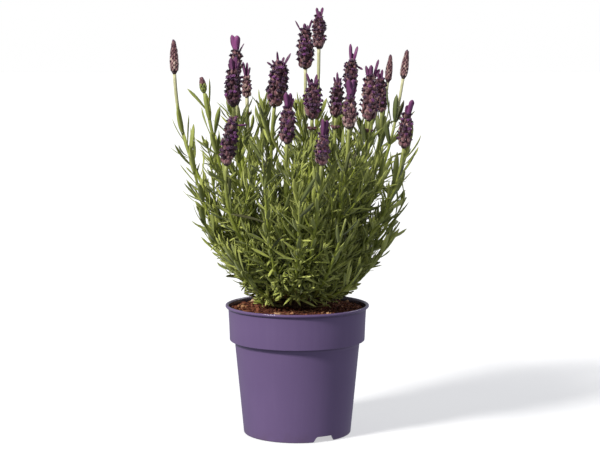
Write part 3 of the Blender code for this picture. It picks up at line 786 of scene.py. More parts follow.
def make_pot():
    lip = POT_HEIGHT
    outer = [
        (0.0, FLOOR_UNDERSIDE_Z),
        (BASE_RADIUS - FOOT_WIDTH, FLOOR_UNDERSIDE_Z),
        (BASE_RADIUS - FOOT_WIDTH, 0.0),
        (BASE_RADIUS, 0.0),
        (BASE_RADIUS + 0.0036, 0.0372),
        (BODY_TOP_RADIUS - 0.0001, BODY_TOP_Z - 0.0006),
        (BODY_TOP_RADIUS + 0.0008, BODY_TOP_Z + 0.0014),
        (BODY_TOP_RADIUS + 0.0011, COLLAR_BOTTOM_Z - 0.0012),
        (COLLAR_BOTTOM_RADIUS - 0.0010, COLLAR_BOTTOM_Z - 0.0019),
        (COLLAR_BOTTOM_RADIUS - 0.0001, COLLAR_BOTTOM_Z - 0.0016),
        (COLLAR_BOTTOM_RADIUS + 0.0004, 0.0930),
        (COLLAR_TOP_RADIUS - 0.0003, lip - 0.0030),
        (COLLAR_TOP_RADIUS + 0.0010, lip - 0.0026),
        (LIP_RADIUS, lip - 0.0018),
        (LIP_RADIUS, lip - 0.0003),
        (LIP_RADIUS - 0.0016, lip + 0.0001),
        (COLLAR_TOP_RADIUS - 0.0008, lip - 0.0008),
        (COLLAR_TOP_RADIUS - WALL, lip - 0.0032),
        (COLLAR_BOTTOM_RADIUS - WALL, COLLAR_BOTTOM_Z + 0.0004),
        (BODY_TOP_RADIUS - WALL, BODY_TOP_Z - 0.0002),
        (BASE_RADIUS - WALL + 0.0007, FLOOR_TOP_Z),
        (0.0, FLOOR_TOP_Z),
    ]
    radius = [0, 0.0006, 0.0005, 0.0009, 0, 0.0005, 0.0004, 0.0004, 0.0002, 0.0004, 0, 0.0006, 0.0006, 0.0010, 0.0010, 0.0007,
              0.0005, 0.0006, 0.001, 0.001, 0.0012, 0]
    b = Build()
    revolve_build(b, rounded(outer, radius, 5), 192)
    pot = b.make("pot_moulded", [POT])
    fix_normals(pot)
    tools = []
    for side in (0, 180):
        turn = math.radians(NOTCH_AZIMUTH_DEG + side)
        out = np.array([math.cos(turn), math.sin(turn), 0])
        across = np.array([-math.sin(turn), math.cos(turn), 0])
        outline = [
            (-NOTCH_BASE_WIDTH / 2 - 0.0016, -0.0025),
            (NOTCH_BASE_WIDTH / 2 + 0.0016, -0.0025),
            (NOTCH_BASE_WIDTH / 2 - 0.0004, 0.0006),
            (NOTCH_TOP_WIDTH / 2 + 0.0009, NOTCH_HEIGHT - 0.0010),
            (NOTCH_TOP_WIDTH / 2 - 0.0004, NOTCH_HEIGHT),
            (-NOTCH_TOP_WIDTH / 2 + 0.0004, NOTCH_HEIGHT),
            (-NOTCH_TOP_WIDTH / 2 - 0.0009, NOTCH_HEIGHT - 0.0010),
            (-NOTCH_BASE_WIDTH / 2 + 0.0004, 0.0006),
        ]
        t = Build()
        n = len(outline)
        rows = [[out * r + across * w + np.array([0, 0, h]) for w, h in outline] for r in (0.036, 0.050)]
        t.add(np.array(rows).reshape(-1, 3), [ring_faces(2, n), np.arange(n)[None, ::-1], (np.arange(n) + n)[None, :]], (0, 0, 0, 0))
        tools.append(t.make(f"cut_notch_{side}", [], smooth=False))
    for i in range(DRAIN_HOLES):
        a = 2 * math.pi * (i + 0.25) / DRAIN_HOLES
        t = Build()
        c = np.array([DRAIN_CIRCLE_RADIUS * math.cos(a), DRAIN_CIRCLE_RADIUS * math.sin(a), 0.0])
        pos = np.array([c + (0, 0, 0.0025), c + (0, 0, 0.0085)])
        tube(t, pos, np.tile([1.0, 0, 0], (2, 1)), np.tile([0, 1.0, 0], (2, 1)), DRAIN_RADIUS, (0, 0, 0, 0), sides=32)
        tools.append(t.make(f"cut_drain_{i}", [], smooth=False))
    for tool in tools:
        fix_normals(tool)
        modifier = pot.modifiers.new(tool.name, "BOOLEAN")
        modifier.operation = "DIFFERENCE"
        modifier.solver = "EXACT"
        modifier.object = tool
    graph = bpy.context.evaluated_depsgraph_get()
    mesh = bpy.data.meshes.new_from_object(pot.evaluated_get(graph))
    pot.modifiers.clear()
    pot.data = mesh
    for tool in tools:
        bpy.data.objects.remove(tool, do_unlink=True)
    pot.data.shade_smooth()
    pot.data.set_sharp_from_angle(angle=math.radians(40))
    return pot


# =====================================================================================
# Soil
# =====================================================================================
def soil_height(r):
    return float(np.interp(r, [0.0, 0.022, 0.035, 0.048, 0.0563], [0.1066, SOIL_MIDDLE_Z, 0.1055, 0.1046, SOIL_EDGE_Z + 0.0012]))


def soil_bumps(x, y):
    p = Vector((x * 130.0, y * 130.0, 0.7))
    big = noise.noise(p * 0.35)
    mid = noise.noise(p)
    small = noise.noise(p * 2.9)
    return 0.0009 * big + 0.0008 * mid + 0.0004 * small


def make_soil(rng):
    b = Build()
    segments, rows = 176, 60
    a = np.arange(segments) / segments * 2 * math.pi
    inner = COLLAR_TOP_RADIUS - WALL - 0.0004
    rings = []
    for k in range(rows):
        r = inner * (1 - (k / (rows - 1)) ** 1.0)
        if r < 1e-6:
            rings.append(np.array([[0, 0, soil_height(0)]]))
            continue
        ring = []
        for t in a:
            x, y = r * math.cos(t), r * math.sin(t)
            z = soil_height(r) + soil_bumps(x, y)
            if k == 0:
                z = SOIL_EDGE_Z + 0.0006
            ring.append((x, y, z))
        rings.append(np.array(ring))
    side = []
    for r, z in ((BASE_RADIUS - WALL + 0.0003, FLOOR_TOP_Z + 0.0004), (BODY_TOP_RADIUS - WALL - 0.0004, BODY_TOP_Z),
                 (COLLAR_BOTTOM_RADIUS - WALL - 0.0004, COLLAR_BOTTOM_Z + 0.0012), (inner - 0.0002, SOIL_EDGE_Z - 0.0020)):
        side.append(np.stack([r * np.cos(a), r * np.sin(a), np.full(segments, z)], -1))
    bottom = np.array([[0, 0, FLOOR_TOP_Z + 0.0004]])
    stack = [bottom] + side + rings
    starts = np.cumsum([0] + [len(s) for s in stack])
    quads, tris = [], []
    i = np.arange(segments)
    j = (i + 1) % segments
    for k in range(len(stack) - 1):
        low, high = starts[k], starts[k + 1]
        if len(stack[k]) == 1:
            tris.append(np.stack([np.full(segments, low), high + j, high + i], -1))
        elif len(stack[k + 1]) == 1:
            tris.append(np.stack([low + i, low + j, np.full(segments, high)], -1))
        else:
            quads.append(np.stack([low + i, low + j, high + j, high + i], -1))
    b.add(np.concatenate(stack), [np.concatenate(quads), np.concatenate(tris)], (0, 0, 0, 0))
    soil = b.make("soil_surface", [SOIL])
    fix_normals(soil)
    return soil


def icosphere():
    bm = bmesh.new()
    bmesh.ops.create_icosphere(bm, subdivisions=2, radius=1.0)
    v = np.array([x.co for x in bm.verts])
    f = np.array([[q.index for q in p.verts] for p in bm.faces])
    bm.free()
    bm = bmesh.new()
    bmesh.ops.create_icosphere(bm, subdivisions=1, radius=1.0)
    v1 = np.array([x.co for x in bm.verts])
    f1 = np.array([[q.index for q in p.verts] for p in bm.faces])
    bm.free()
    return (v, f), (v1, f1)


def turned(rng):
    q = rng.normal(size=4)
    q /= np.linalg.norm(q)
    w, x, y, z = q
    return np.array([
        [1 - 2 * (y * y + z * z), 2 * (x * y - z * w), 2 * (x * z + y * w)],
        [2 * (x * y + z * w), 1 - 2 * (x * x + z * z), 2 * (y * z - x * w)],
        [2 * (x * z - y * w), 2 * (y * z + x * w), 1 - 2 * (x * x + y * y)],
    ])


def make_crumbs(rng):
    b = Build()
    fine, rough = icosphere()
    limit = COLLAR_TOP_RADIUS - WALL - 0.0012

    def put(shape, size, tone, x, y, sink):
        v, f = shape
        lump = v * (1 + rng.uniform(-0.32, 0.32, (len(v), 1)))
        lump = lump * (np.array(size) / 2)
        lump = lump @ turned(rng).T
        flat = rng.uniform(0.55, 0.9)
        lump[:, 2] *= flat
        z = soil_height(math.hypot(x, y)) + soil_bumps(x, y) + lump[:, 2].max() * sink
        b.add(lump + (x, y, z), f, (0.5, tone, 0, rng.uniform()))

    for n in range(2300):
        r = limit * math.sqrt(rng.uniform(0.02, 1.0))
        t = rng.uniform(0, 2 * math.pi)
        s = 0.0009 + 0.0022 * rng.uniform() ** 2.2
        if r + s * 0.6 > limit + 0.0006:
            r = limit + 0.0006 - s * 0.6
        tone = float(np.clip(rng.normal(0.36, 0.16), 0, 0.72))
        put(rough, (s, s * rng.uniform(0.6, 1.0), s * rng.uniform(0.5, 0.9)), tone, r * math.cos(t), r * math.sin(t), rng.uniform(0.0, 0.7))
    for n in range(190):
        r = (limit - 0.003) * math.sqrt(rng.uniform(0.05, 1.0))
        t = rng.uniform(0, 2 * math.pi)
        s = rng.uniform(0.0028, 0.0056)
        tone = float(rng.choice([0.30, 0.45, 0.58, 0.66, 0.82], p=[0.3, 0.3, 0.2, 0.12, 0.08]))
        put(fine, (s, s * rng.uniform(0.45, 0.8), s * rng.uniform(0.3, 0.5)), tone, r * math.cos(t), r * math.sin(t), rng.uniform(0.2, 0.7))
    # pale chips at the front left, where they catch the light
    for x, y, s, tone in ((-0.0275, -0.0445, 0.0046, 0.98), (-0.0155, -0.0475, 0.0066, 0.86), (-0.0020, -0.0520, 0.0036, 0.95),
                          (0.0250, -0.0430, 0.0042, 0.84), (0.0390, -0.0330, 0.0038, 0.78), (-0.0430, -0.0300, 0.0060, 0.60),
                          (0.0100, 0.0460, 0.0050, 0.90), (0.0420, 0.0250, 0.0044, 0.84), (-0.0380, 0.0330, 0.0048, 0.92)):
        put(fine, (s, s * 0.75, s * 0.6), tone, x, y, 0.75)
    # fibres
    for n in range(150):
        r = (limit - 0.004) * math.sqrt(rng.uniform(0.03, 1.0))
        t = rng.uniform(0, 2 * math.pi)
        x, y = r * math.cos(t), r * math.sin(t)
        heading = rng.uniform(0, 2 * math.pi)
        length = rng.uniform(0.004, 0.011)
        curl = rng.uniform(-140, 140)
        pts = []
        for k in range(7):
            pts.append((x, y, soil_height(min(math.hypot(x, y), 0.0563)) + soil_bumps(x, y) + 0.0005 + 0.0009 * rng.uniform()))
            x += math.cos(heading) * length / 6
            y += math.sin(heading) * length / 6
            heading += curl * length / 6
            if math.hypot(x, y) > limit:
                break
        if len(pts) < 4:
            continue
        line = np.array(pts)
        total = arc_lengths(line)[-1]
        pos, tan, one, two = frames_along(line, np.linspace(0, total, len(pts)))
        tube(b, pos, one, two, rng.uniform(0.00012, 0.00028), (0.5, rng.uniform(0.3, 0.8), 0, rng.uniform()), sides=5)
    crumbs = b.make("soil_crumbs_and_chips", [CRUMB], smooth=False)
    fix_normals(crumbs)
    return crumbs


# =====================================================================================
# Stems, twigs and leaves
# =====================================================================================
# How far out the foliage reaches at each height: narrow at the soil, a vase above it.
REACH_Z = (0.106, 0.113, 0.122, 0.130, 0.140, 0.150, 0.160, 0.175, 0.190, 0.206, 0.222, 0.239, 0.256, 0.275, 0.300)
REACH_R = (0.034, 0.042, 0.048, 0.055, 0.062, 0.068, 0.075, 0.084, 0.089, 0.093, 0.098, 0.103, 0.107, 0.105, 0.095)


def reach(z):
    return np.interp(z, REACH_Z, REACH_R)


class Leaves:
    """Collects leaf parameters, tests them, then builds the blades in one go."""

    def __init__(self, guards, rng):
        self.rows = []
        self.low = np.array([g[0] for g in guards])
        self.axis = np.array([g[1] for g in guards]) - self.low
        self.square = (self.axis**2).sum(1)
        self.radius = np.array([g[2] for g in guards])
        self.rng = rng

    def near_head(self, pts, extra=0.0):
        off = pts[:, None, :] - self.low[None, :, :]
        k = np.clip((off * self.axis[None]).sum(2) / self.square[None], 0, 1)
        gap = np.linalg.norm(off - k[:, :, None] * self.axis[None], axis=2)
        return (gap < self.radius[None] + extra).any()

    def clear(self, base, heading, upper, length, bend, slack):
        t = np.array([0.45, 0.75, 1.0])
        ang = bend * t / 2
        pts = base + length * t[:, None] * (np.cos(ang)[:, None] * heading + np.sin(ang)[:, None] * upper)
        r = np.hypot(pts[:, 0], pts[:, 1])
        ground = np.interp(r, [0.0, 0.022, 0.035, 0.048, 0.0563], [0.1066, SOIL_MIDDLE_Z, 0.1055, 0.1046, SOIL_EDGE_Z + 0.0012])
        if ((pts[:, 2] < ground + 0.0020) & (r < 0.058)).any():
            return False
        if ((r > 0.0530) & (r < 0.0640) & (pts[:, 2] < POT_HEIGHT + 0.0030)).any():
            return False
        skew = 1.0 + np.interp(pts[1:, 2], [0.15, 0.23], [0.02, 0.055]) * pts[1:, 0] / np.maximum(r[1:], 1e-4)
        if (r[1:] > reach(pts[1:, 2]) * slack * skew).any():
            return False
        if (np.abs(pts[-1][:2]) > (0.1155, 0.1155)).any():
            return False
        return not self.near_head(pts)

    def put(self, base, heading, upper, length, width, bend, twist, tone, rand):
        heading = heading / np.linalg.norm(heading)
        upper = upper - heading * (upper @ heading)
        upper = upper / (np.linalg.norm(upper) + 1e-9)
        slack = self.rng.uniform(0.88, 1.02) if base[2] > 0.17 else self.rng.uniform(0.93, 1.12)
        for share in (1.0, 0.78, 0.60, 0.46) if base[2] < 0.20 else (1.0, 0.78):
            if self.clear(base, heading, upper, length * share, bend, slack):
                # leaves deep inside the bush are darkened, partly as older leaves and partly as painted shade, and
                # those at its surface are lightened as painted light
                tip = base + heading * length * 0.6
                depth = min(1.0, math.hypot(tip[0], tip[1]) / float(reach(tip[2])))
                inside = 0.78 * (1.0 - depth) ** 1.25 * min(1.0, max(0.0, (0.235 - tip[2]) / 0.08)) - 0.13 * depth
                tone = float(np.clip(tone - inside, 0.08, 1.0))
                if tip[2] < 0.150 and self.rng.uniform() < 0.02:
                    tone = 0.0
                self.rows.append((base, heading, upper, length * share, width, bend, twist, tone, rand))
                return

    def build(self, b, slot):
        big = [r for r in self.rows if r[3] > 0.0105]
        small = [r for r in self.rows if r[3] <= 0.0105]
        for rows, stations, section in ((big, 8, LEAF_SECTION), (small, 5, PLAIN_SECTION)):
            if not rows:
                continue
            base, heading, upper, length, width, bend, twist, tone, rand = (np.array(c) for c in zip(*rows))
            look = np.stack([tone * 0, tone, tone * 0, rand], -1)
            blades(b, base, heading, upper, length, width, bend, twist, look, slot, stations, section)


def leaf_pair(leaves, rng, p, tan, one, two, flip, size, width, open_deg, tone, radius, cluster=2, arch=0.0, share=(0.28, 0.66)):
    """A pair of opposite leaves at a node, with small ones in their axils."""
    out0 = one if flip else two
    spread = 0.27 if p[2] < 0.19 else 0.20
    for sign in (1, -1):
        out = out0 * sign
        side = np.cross(tan, out)
        slope = math.radians(open_deg + rng.normal(0, 8))
        sway = rng.normal(0, 0.20)
        direction = unit(out * math.sin(slope) + tan * math.cos(slope) + side * sway)
        upper = unit(tan * math.sin(slope) - out * math.cos(slope))
        length = size * rng.uniform(0.78, 1.18)
        bend = rng.normal(0.20, 0.36 if p[2] > 0.19 else 0.55) - arch
        twist = rng.normal(0, 0.55)
        leaves.put(p + out * radius * 0.5, direction, upper, length, width * rng.uniform(0.84, 1.15), bend, twist,
                   float(np.clip(tone + rng.normal(0, spread), 0.04, 1)), rng.uniform())
        if cluster:
            for k in range(int(rng.integers(0, 2)) + cluster - 1):
                slope2 = math.radians(open_deg * 0.58 + rng.normal(0, 12))
                sway2 = rng.normal(0, 0.55)
                direction2 = unit(out * math.sin(slope2) + tan * math.cos(slope2) + side * sway2)
                upper2 = unit(tan * math.sin(slope2) - out * math.cos(slope2))
                leaves.put(p + out * radius * 0.6 + tan * 0.0006, direction2, upper2, size * rng.uniform(*share),
                           width * rng.uniform(0.60, 0.85), rng.normal(0.15, 0.35), rng.normal(0, 0.4),
                           float(np.clip(tone + 0.04 + rng.normal(0, spread), 0.04, 1)), rng.uniform())


def twig(b, leaves, rng, start, heading, length, tone, slot_stalk, size=0.017, lift=0.085, opening=48, arch=0.0, pitch=0.0076):
    """A side twig: a short thin stem with leaf pairs, ending in a tuft."""
    up = np.array([0, 0, 1.0])
    n = 9
    pts = [start]
    d = unit(heading)
    for k in range(n - 1):
        d = unit(d + up * lift + rng.normal(0, 0.04, 3))
        pts.append(pts[-1] + d * length / (n - 1))
    line = np.array(pts)
    r = np.hypot(line[:, 0], line[:, 1])
    if r[-1] > reach(line[-1][2]) * (0.97 if line[-1][2] < 0.185 else 0.93) - 0.004 or line[-1][2] > 0.292:
        return False
    if ((r > 0.050) & (line[:, 2] < 0.1135)).any() or leaves.near_head(line, 0.001):
        return False
    if (line[:, 2] < np.interp(r, [0.0, 0.022, 0.035, 0.048, 0.0563], [0.1066, SOIL_MIDDLE_Z, 0.1055, 0.1046, SOIL_EDGE_Z + 0.0012]) + 0.0022).any():
        return False
    total = arc_lengths(line)[-1]
    pos, tan, one, two = frames_along(line, np.linspace(0, total, n), first=tuple(rng.normal(0, 1, 3)))
    radii = np.linspace(0.00075, 0.00050, n)
    look = np.stack([np.full(n, 0.55), np.full(n, 0.2), np.zeros(n), np.full(n, rng.uniform())], -1)
    tube(b, pos, one, two, radii, look, slot_stalk, sides=6, square=0.6)
    s = 0.006
    k = 0
    lengths = arc_lengths(line)
    while s < total - 0.002:
        share = s / total
        i = int(np.clip(round(share * (n - 1)), 0, n - 1))
        p = sample(line, lengths, s)
        leaf_pair(leaves, rng, p, tan[i], one[i], two[i], k % 2 == 0, size * (1.0 - 0.22 * share), 0.0021, opening * (1.0 - 0.36 * share),
                  tone + 0.10 * share, 0.0007, cluster=1 if rng.uniform() < 0.6 else 0, arch=arch)
        s += pitch * rng.uniform(0.82, 1.20) * (1 - 0.25 * share)
        k += 1
    tuft(leaves, rng, line[-1], tan[-1], one[-1], two[-1], size * 0.74, tone + float(np.interp(line[-1][2], [0.18, 0.23], [0.14, 0.02])))
    return True


def tuft(leaves, rng, p, tan, one, two, size, tone):
    """The young leaves at the tip of a shoot."""
    for k in range(8):
        a = k * math.pi / 2 + (k // 4) * math.pi / 4 + rng.normal(0, 0.15)
        out = math.cos(a) * one + math.sin(a) * two
        slope = math.radians((26 if k < 4 else 11) + rng.normal(0, 5))
        direction = unit(out * math.sin(slope) + tan * math.cos(slope))
        upper = unit(tan * math.sin(slope) - out * math.cos(slope))
        leaves.put(p - tan * 0.0012, direction, upper, size * rng.uniform(0.7, 1.15) * (1 if k < 4 else 0.7), 0.0021, rng.normal(0.12, 0.2), rng.normal(0, 0.3),
                   float(np.clip(tone + rng.normal(0, 0.08), 0, 1)), rng.uniform())


LEAF_COUNT = [0, 0]


def edge_leaves(lines, guards):
    """Long single leaves that stand out from the bush, on the stems nearest its outside."""
    rng = np.random.default_rng(77)
    probe = Leaves(guards, rng)
    chosen = {}
    for i, line in enumerate(lines):
        lengths = arc_lengths(line)
        last = lengths[-1] - (FLOWER_HEADS[i][8] * 0.001 if i < len(FLOWER_HEADS) else 0.002) * 0.9
        for share in (0.28, 0.40, 0.52, 0.63, 0.74, 0.84, 0.94):
            k = int(np.searchsorted(lengths, last * (share + rng.uniform(-0.05, 0.05))))
            p = line[min(k, len(line) - 1)]
            for _ in range(12):
                away = math.atan2(p[1], p[0]) + rng.normal(0, 0.4)
                length = rng.uniform(0.019, 0.027) * float(np.interp(p[2], [0.14, 0.19], [0.78, 1.0]))
                rise = rng.uniform(0.35, 0.88)
                flat = math.sqrt(1 - rise * rise)
                tip = p + length * np.array([math.cos(away) * flat, math.sin(away) * flat, rise])
                if not 0.96 < math.hypot(tip[0], tip[1]) / float(reach(tip[2])) < 1.05 or tip[2] < POT_HEIGHT + 0.005:
                    continue
                if probe.near_head(np.array([(p + tip) / 2, tip])):
                    continue
                width = rng.uniform(0.0027, 0.0035) * float(np.interp(tip[2], [0.12, 0.20], [0.72, 1.0]))
                chosen.setdefault(i, []).append((p, tip, width))
                break
    return chosen


def make_stem(name, node, index, line, bare, flowering, guards, edge=()):
    rng = np.random.default_rng(1000 + index)
    b = Build()
    leaves = Leaves(guards, rng)
    lengths = arc_lengths(line)
    total = lengths[-1]
    count = int(total / 0.0045)
    stations = np.linspace(0, total, count)
    pos, tan, one, two = frames_along(line, stations)
    share = stations / total
    if flowering:
        radii = np.interp(share, [0, 0.12, 0.4, 0.9, 1.0], [0.0019, 0.00155, 0.00138, 0.00130, 0.00140])
    else:
        radii = np.interp(share, [0, 0.12, 0.4, 1.0], [0.00185, 0.00145, 0.00115, 0.00066])
    nodes = []
    s = 0.010 + rng.uniform(0, 0.004)
    last = total - bare if flowering else total - 0.003
    while s < last - 0.006:
        nodes.append(s)
        t = s / total
        gap = np.interp(t, [0, 0.35, 0.65, 1.0], [0.0072, 0.0092, 0.0140, 0.0160] if flowering else [0.0072, 0.0086, 0.0108, 0.0096])
        s += gap * rng.uniform(0.85, 1.15)
    nodes.append(last)
    swell = np.zeros(count)
    for s in nodes:
        swell += np.exp(-(((stations - s) / 0.0011) ** 2))
    radii = radii * (1 + 0.26 * np.clip(swell, 0, 1))
    rand = rng.uniform()
    look = np.stack([share, np.full(count, 1.0 if flowering and bare > 0.033 else 0.22), np.zeros(count), np.full(count, rand)], -1)
    tube(b, pos, one, two, radii, look, 1, sides=8, square=1.0, phase=math.pi / 4)
    mood = rng.normal(0, 0.07)
    twigs = 0
    for k, s in enumerate(nodes):
        i = int(np.clip(round(s / total * (count - 1)), 0, count - 1))
        t = s / total
        top = k == len(nodes) - 1
        tone = float(np.interp(t, [0, 0.5, 0.75, 1.0], [0.70, 0.66, 0.46, 0.46])) + mood + rng.normal(0, 0.06)
        size = np.interp(t, [0, 0.12, 0.3, 0.55, 0.8, 1.0], [0.013, 0.0165, 0.0205, 0.0245, 0.0275, 0.0265]) * rng.uniform(0.85, 1.15)
        width = np.interp(t, [0, 0.4, 0.75, 1.0], [0.0022, 0.0025, 0.0034, 0.0036])
        opening = np.interp(t, [0, 0.3, 0.55, 0.75, 1.0], [74, 64, 48, 28, 20])
        outer = t > 0.5 and math.hypot(pos[min(count - 1, int(s / total * count))][0], 0.0) > 0.066
        p, tn, o1, o2 = pos[i], tan[i], one[i], two[i]
        leaf_pair(leaves, rng, p, tn, o1, o2, k % 2 == 0, size, width * (1.22 if outer else 1.0), opening, tone, radii[i],
                  cluster=(0 if rng.uniform() < 0.5 else 1) if outer else 2, arch=0.30 * (1 - t), share=(0.28, 0.66) if t < 0.6 else (0.45, 0.95))
        chance = np.interp(t, [0.0, 0.08, 0.45, 0.62, 0.85, 0.95], [0.7, 0.92, 0.64, 0.26, 0.20, 0.06])
        if t < 0.30:
            # short bushy growth that hides the feet of the stems and spills over the soil
            for q in range(3 if t < 0.16 else 2):
                a = rng.uniform(0, 2 * math.pi)
                away = np.array([p[0], p[1], 0.0]) / (math.hypot(p[0], p[1]) + 1e-6)
                out = unit(math.cos(a) * o1 + math.sin(a) * o2 + 0.8 * away)
                out = unit(out * np.array([1.0, 1.0, 0.45]) + np.array([0.0, 0.0, rng.uniform(0.05, 0.75)]))
                for far in (rng.uniform(0.014, 0.030), rng.uniform(0.008, 0.014)):
                    if twig(b, leaves, rng, p, out, far, tone + 0.06, 1, size=rng.uniform(0.011, 0.016), lift=0.03,
                            opening=68, arch=0.35, pitch=0.0062):
                        break
        if outer:
            chance *= 0.25
        if not top and rng.uniform() < chance:
            for sign in (1, -1):
                if rng.uniform() < 0.42:
                    continue
                out = (o1 if k % 2 == 0 else o2) * sign
                for far in (rng.uniform(0.026, 0.056), rng.uniform(0.016, 0.026)):
                    if twig(b, leaves, rng, p + out * radii[i] * 0.4, out * 0.62 + tn * 0.8, far * (1.0 if t < 0.6 else 0.75),
                            tone + 0.02, 1, size=rng.uniform(0.015, 0.021)):
                        twigs += 1
                        break
    if not flowering:
        tuft(leaves, rng, line[-1], tan[-1], one[-1], two[-1], 0.023, 0.56)
    for foot, tip, width in edge:
        chord = tip - foot
        length = np.linalg.norm(chord)
        ahead = chord / length
        upper = unit(np.array([-foot[0], -foot[1], 0.0])) * 0.75 + np.array([rng.normal(0, 0.25), rng.normal(0, 0.25), 0.75])
        upper = unit(upper - ahead * (upper @ ahead))
        bend = rng.uniform(-0.15, 0.55)
        turn = -0.46 * bend
        leaves.rows.append((foot, unit(ahead * math.cos(turn) + upper * math.sin(turn)), upper, length * 1.02, width, bend,
                            rng.normal(0, 0.3), float(np.clip(0.55 + rng.normal(0, 0.12), 0, 1)), rng.uniform()))
    LEAF_COUNT[0] += len(leaves.rows)
    LEAF_COUNT[1] += twigs
    leaves.build(b, 0)
    obj = b.make(name, [LEAF, STALK])
    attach(obj, "root")
    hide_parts(node)
    return obj


# =====================================================================================
# Flower heads
# =====================================================================================
def ellipsoids(b, centre, axis, one, two, length, radius, look, slot, rings=5, sides=7, ribs=0.0):
    """Small closed spindles, all at once."""
    count = len(centre)
    t = np.linspace(0, 1, rings)
    prof = np.sin(np.clip(t * 0.86 + 0.10, 0, 1) * math.pi) ** 0.7
    a = np.arange(sides) / sides * 2 * math.pi
    rib = 1 + ribs * np.cos(a * 3)
    ring = (
        centre[:, None, None, :]
        + axis[:, None, None, :] * (t[None, :, None, None] - 0.5) * length[:, None, None, None]
        + one[:, None, None, :] * (np.cos(a) * rib)[None, None, :, None] * (prof[None, :] * radius[:, None])[:, :, None, None]
        + two[:, None, None, :] * (np.sin(a) * rib)[None, None, :, None] * (prof[None, :] * radius[:, None])[:, :, None, None]
    )
    full = np.zeros((count, rings, sides, 4))
    full[..., 0] = t[None, :, None]
    full[..., 1] = look[:, 1][:, None, None]
    full[..., 3] = look[:, 3][:, None, None]
    base = (np.arange(count) * rings * sides)[:, None, None]
    quads = (ring_faces(rings, sides)[None] + base).reshape(-1, 4)
    low = np.arange(sides)[::-1][None, :] + base[:, :, 0]
    high = np.arange(sides)[None, :] + (rings - 1) * sides + base[:, :, 0]
    b.add(ring.reshape(-1, 3), [quads, low, high], full.reshape(-1, 4), slot)


# share of florets open, how pale the calyces are
HEAD_LOOKS = (
    (0.25, 0.86), (0.0, 0.62), (0.92, 0.22), (1.0, 0.12), (0.85, 0.45), (0.28, 1.0), (0.86, 0.42), (0.88, 0.40),
    (0.95, 0.35), (0.90, 0.30), (0.88, 0.42), (0.78, 0.55), (0.92, 0.22), (0.50, 0.80), (0.92, 0.28), (0.72, 0.60),
    (0.86, 0.40), (0.0, 0.74), (0.0, 1.0), (0.84, 0.52),
)

# the tall sterile bracts on top of each head: sideways and upward throw of the tip from the
# top of the body, width (mm), brightness, and how far the tip stands forward (-) or back (+)
EARS = {
    2: ((12.0, -3.0, 1.7, 0.35, -1.0), (2.5, 4.0, 2.4, 0.35, 1.5), (-1.5, 2.5, 2.2, 0.3, -2.0)),
    3: ((-1.8, 11.0, 3.6, 0.45, -1.8), (2.4, 12.0, 3.8, 0.50, 0.8), (5.0, 7.5, 2.4, 0.35, -0.5), (-3.6, 6.5, 2.4, 0.35, 1.8)),
    4: ((-3.6, 13.4, 5.2, 0.90, -1.4), (0.9, 12.8, 5.6, 1.0, -2.2), (6.6, 6.2, 1.7, 0.40, 0.4), (1.5, 9.0, 4.0, 0.7, 2.6), (-2.6, 8.0, 3.2, 0.55, 2.2)),
    5: ((-2.4, 12.5, 2.8, 0.40, -0.8), (1.2, 12.0, 2.7, 0.35, 0.8), (3.6, 8.0, 2.0, 0.3, -1.0), (-0.5, 7.5, 2.4, 0.4, 2.4)),
    6: ((-11.4, 1.8, 1.8, 0.25, -0.5), (-7.4, 3.6, 2.0, 0.28, -2.0), (-4.2, 10.6, 2.3, 0.45, 0.2), (7.4, 9.2, 2.3, 0.38, 0.8), (2.2, 6.0, 2.4, 0.3, 3.0)),
    7: ((-2.0, 12.4, 4.2, 0.55, -1.8), (1.6, 12.0, 3.8, 0.50, -0.4), (4.0, 8.0, 2.6, 0.4, 0.8), (-0.6, 9.0, 3.4, 0.45, 2.4)),
    8: ((-8.8, 9.0, 1.5, 0.28, -0.6), (-0.8, 6.6, 3.2, 0.36, -1.6), (5.8, 10.0, 1.9, 0.36, 0.4), (2.0, 5.2, 2.6, 0.3, 2.4)),
    9: ((-5.8, 10.0, 2.7, 0.32, -0.6), (2.6, 9.2, 2.7, 0.32, 0.6), (3.6, 5.4, 2.2, 0.5, -2.2), (-1.6, 5.6, 2.4, 0.35, 2.4)),
    10: ((-1.8, 7.4, 2.5, 0.50, -0.4), (3.2, 7.6, 2.5, 0.55, 0.4), (0.4, 4.2, 2.4, 0.45, -1.8), (0.4, 4.6, 2.2, 0.4, 1.8)),
    11: ((-1.6, 13.6, 4.0, 0.40, -1.8), (1.8, 12.6, 4.2, 0.42, -0.6), (0.4, 10.6, 4.0, 0.34, 2.0), (3.6, 6.0, 2.4, 0.3, 1.0)),
    12: ((-0.8, 9.2, 2.1, 0.38, -0.8), (-3.4, 5.4, 1.9, 0.32, 0.4), (2.6, 4.8, 1.9, 0.36, -0.4), (0.6, 5.0, 2.2, 0.34, 2.2)),
    13: ((-2.0, 14.2, 4.4, 0.52, -1.6), (1.6, 13.8, 4.4, 0.58, -0.8), (4.2, 9.0, 2.8, 0.45, 0.8), (-0.6, 10.0, 4.0, 0.45, 2.4)),
    14: ((-1.0, 15.0, 3.0, 0.70, -0.8), (5.2, 12.8, 2.9, 0.70, 0.2), (10.0, -7.0, 2.0, 0.45, -2.4), (1.0, 7.0, 2.8, 0.5, 2.4)),
    15: ((-4.2, 8.8, 3.2, 0.45, -0.8), (0.0, 9.2, 3.6, 0.48, -2.0), (5.8, 13.6, 2.4, 0.50, 0.6), (7.0, 6.0, 3.0, 0.42, 1.4), (-1.4, 6.4, 3.0, 0.4, 3.0)),
    16: ((-2.4, 7.0, 2.7, 0.36, -0.8), (2.0, 8.2, 2.4, 0.42, 0.4), (0.2, 5.0, 2.4, 0.34, 2.2)),
    19: ((3.2, 11.6, 4.8, 0.70, -1.2), (-0.6, 7.2, 3.2, 0.45, 0.8), (1.6, 8.0, 3.6, 0.5, 2.4)),
}
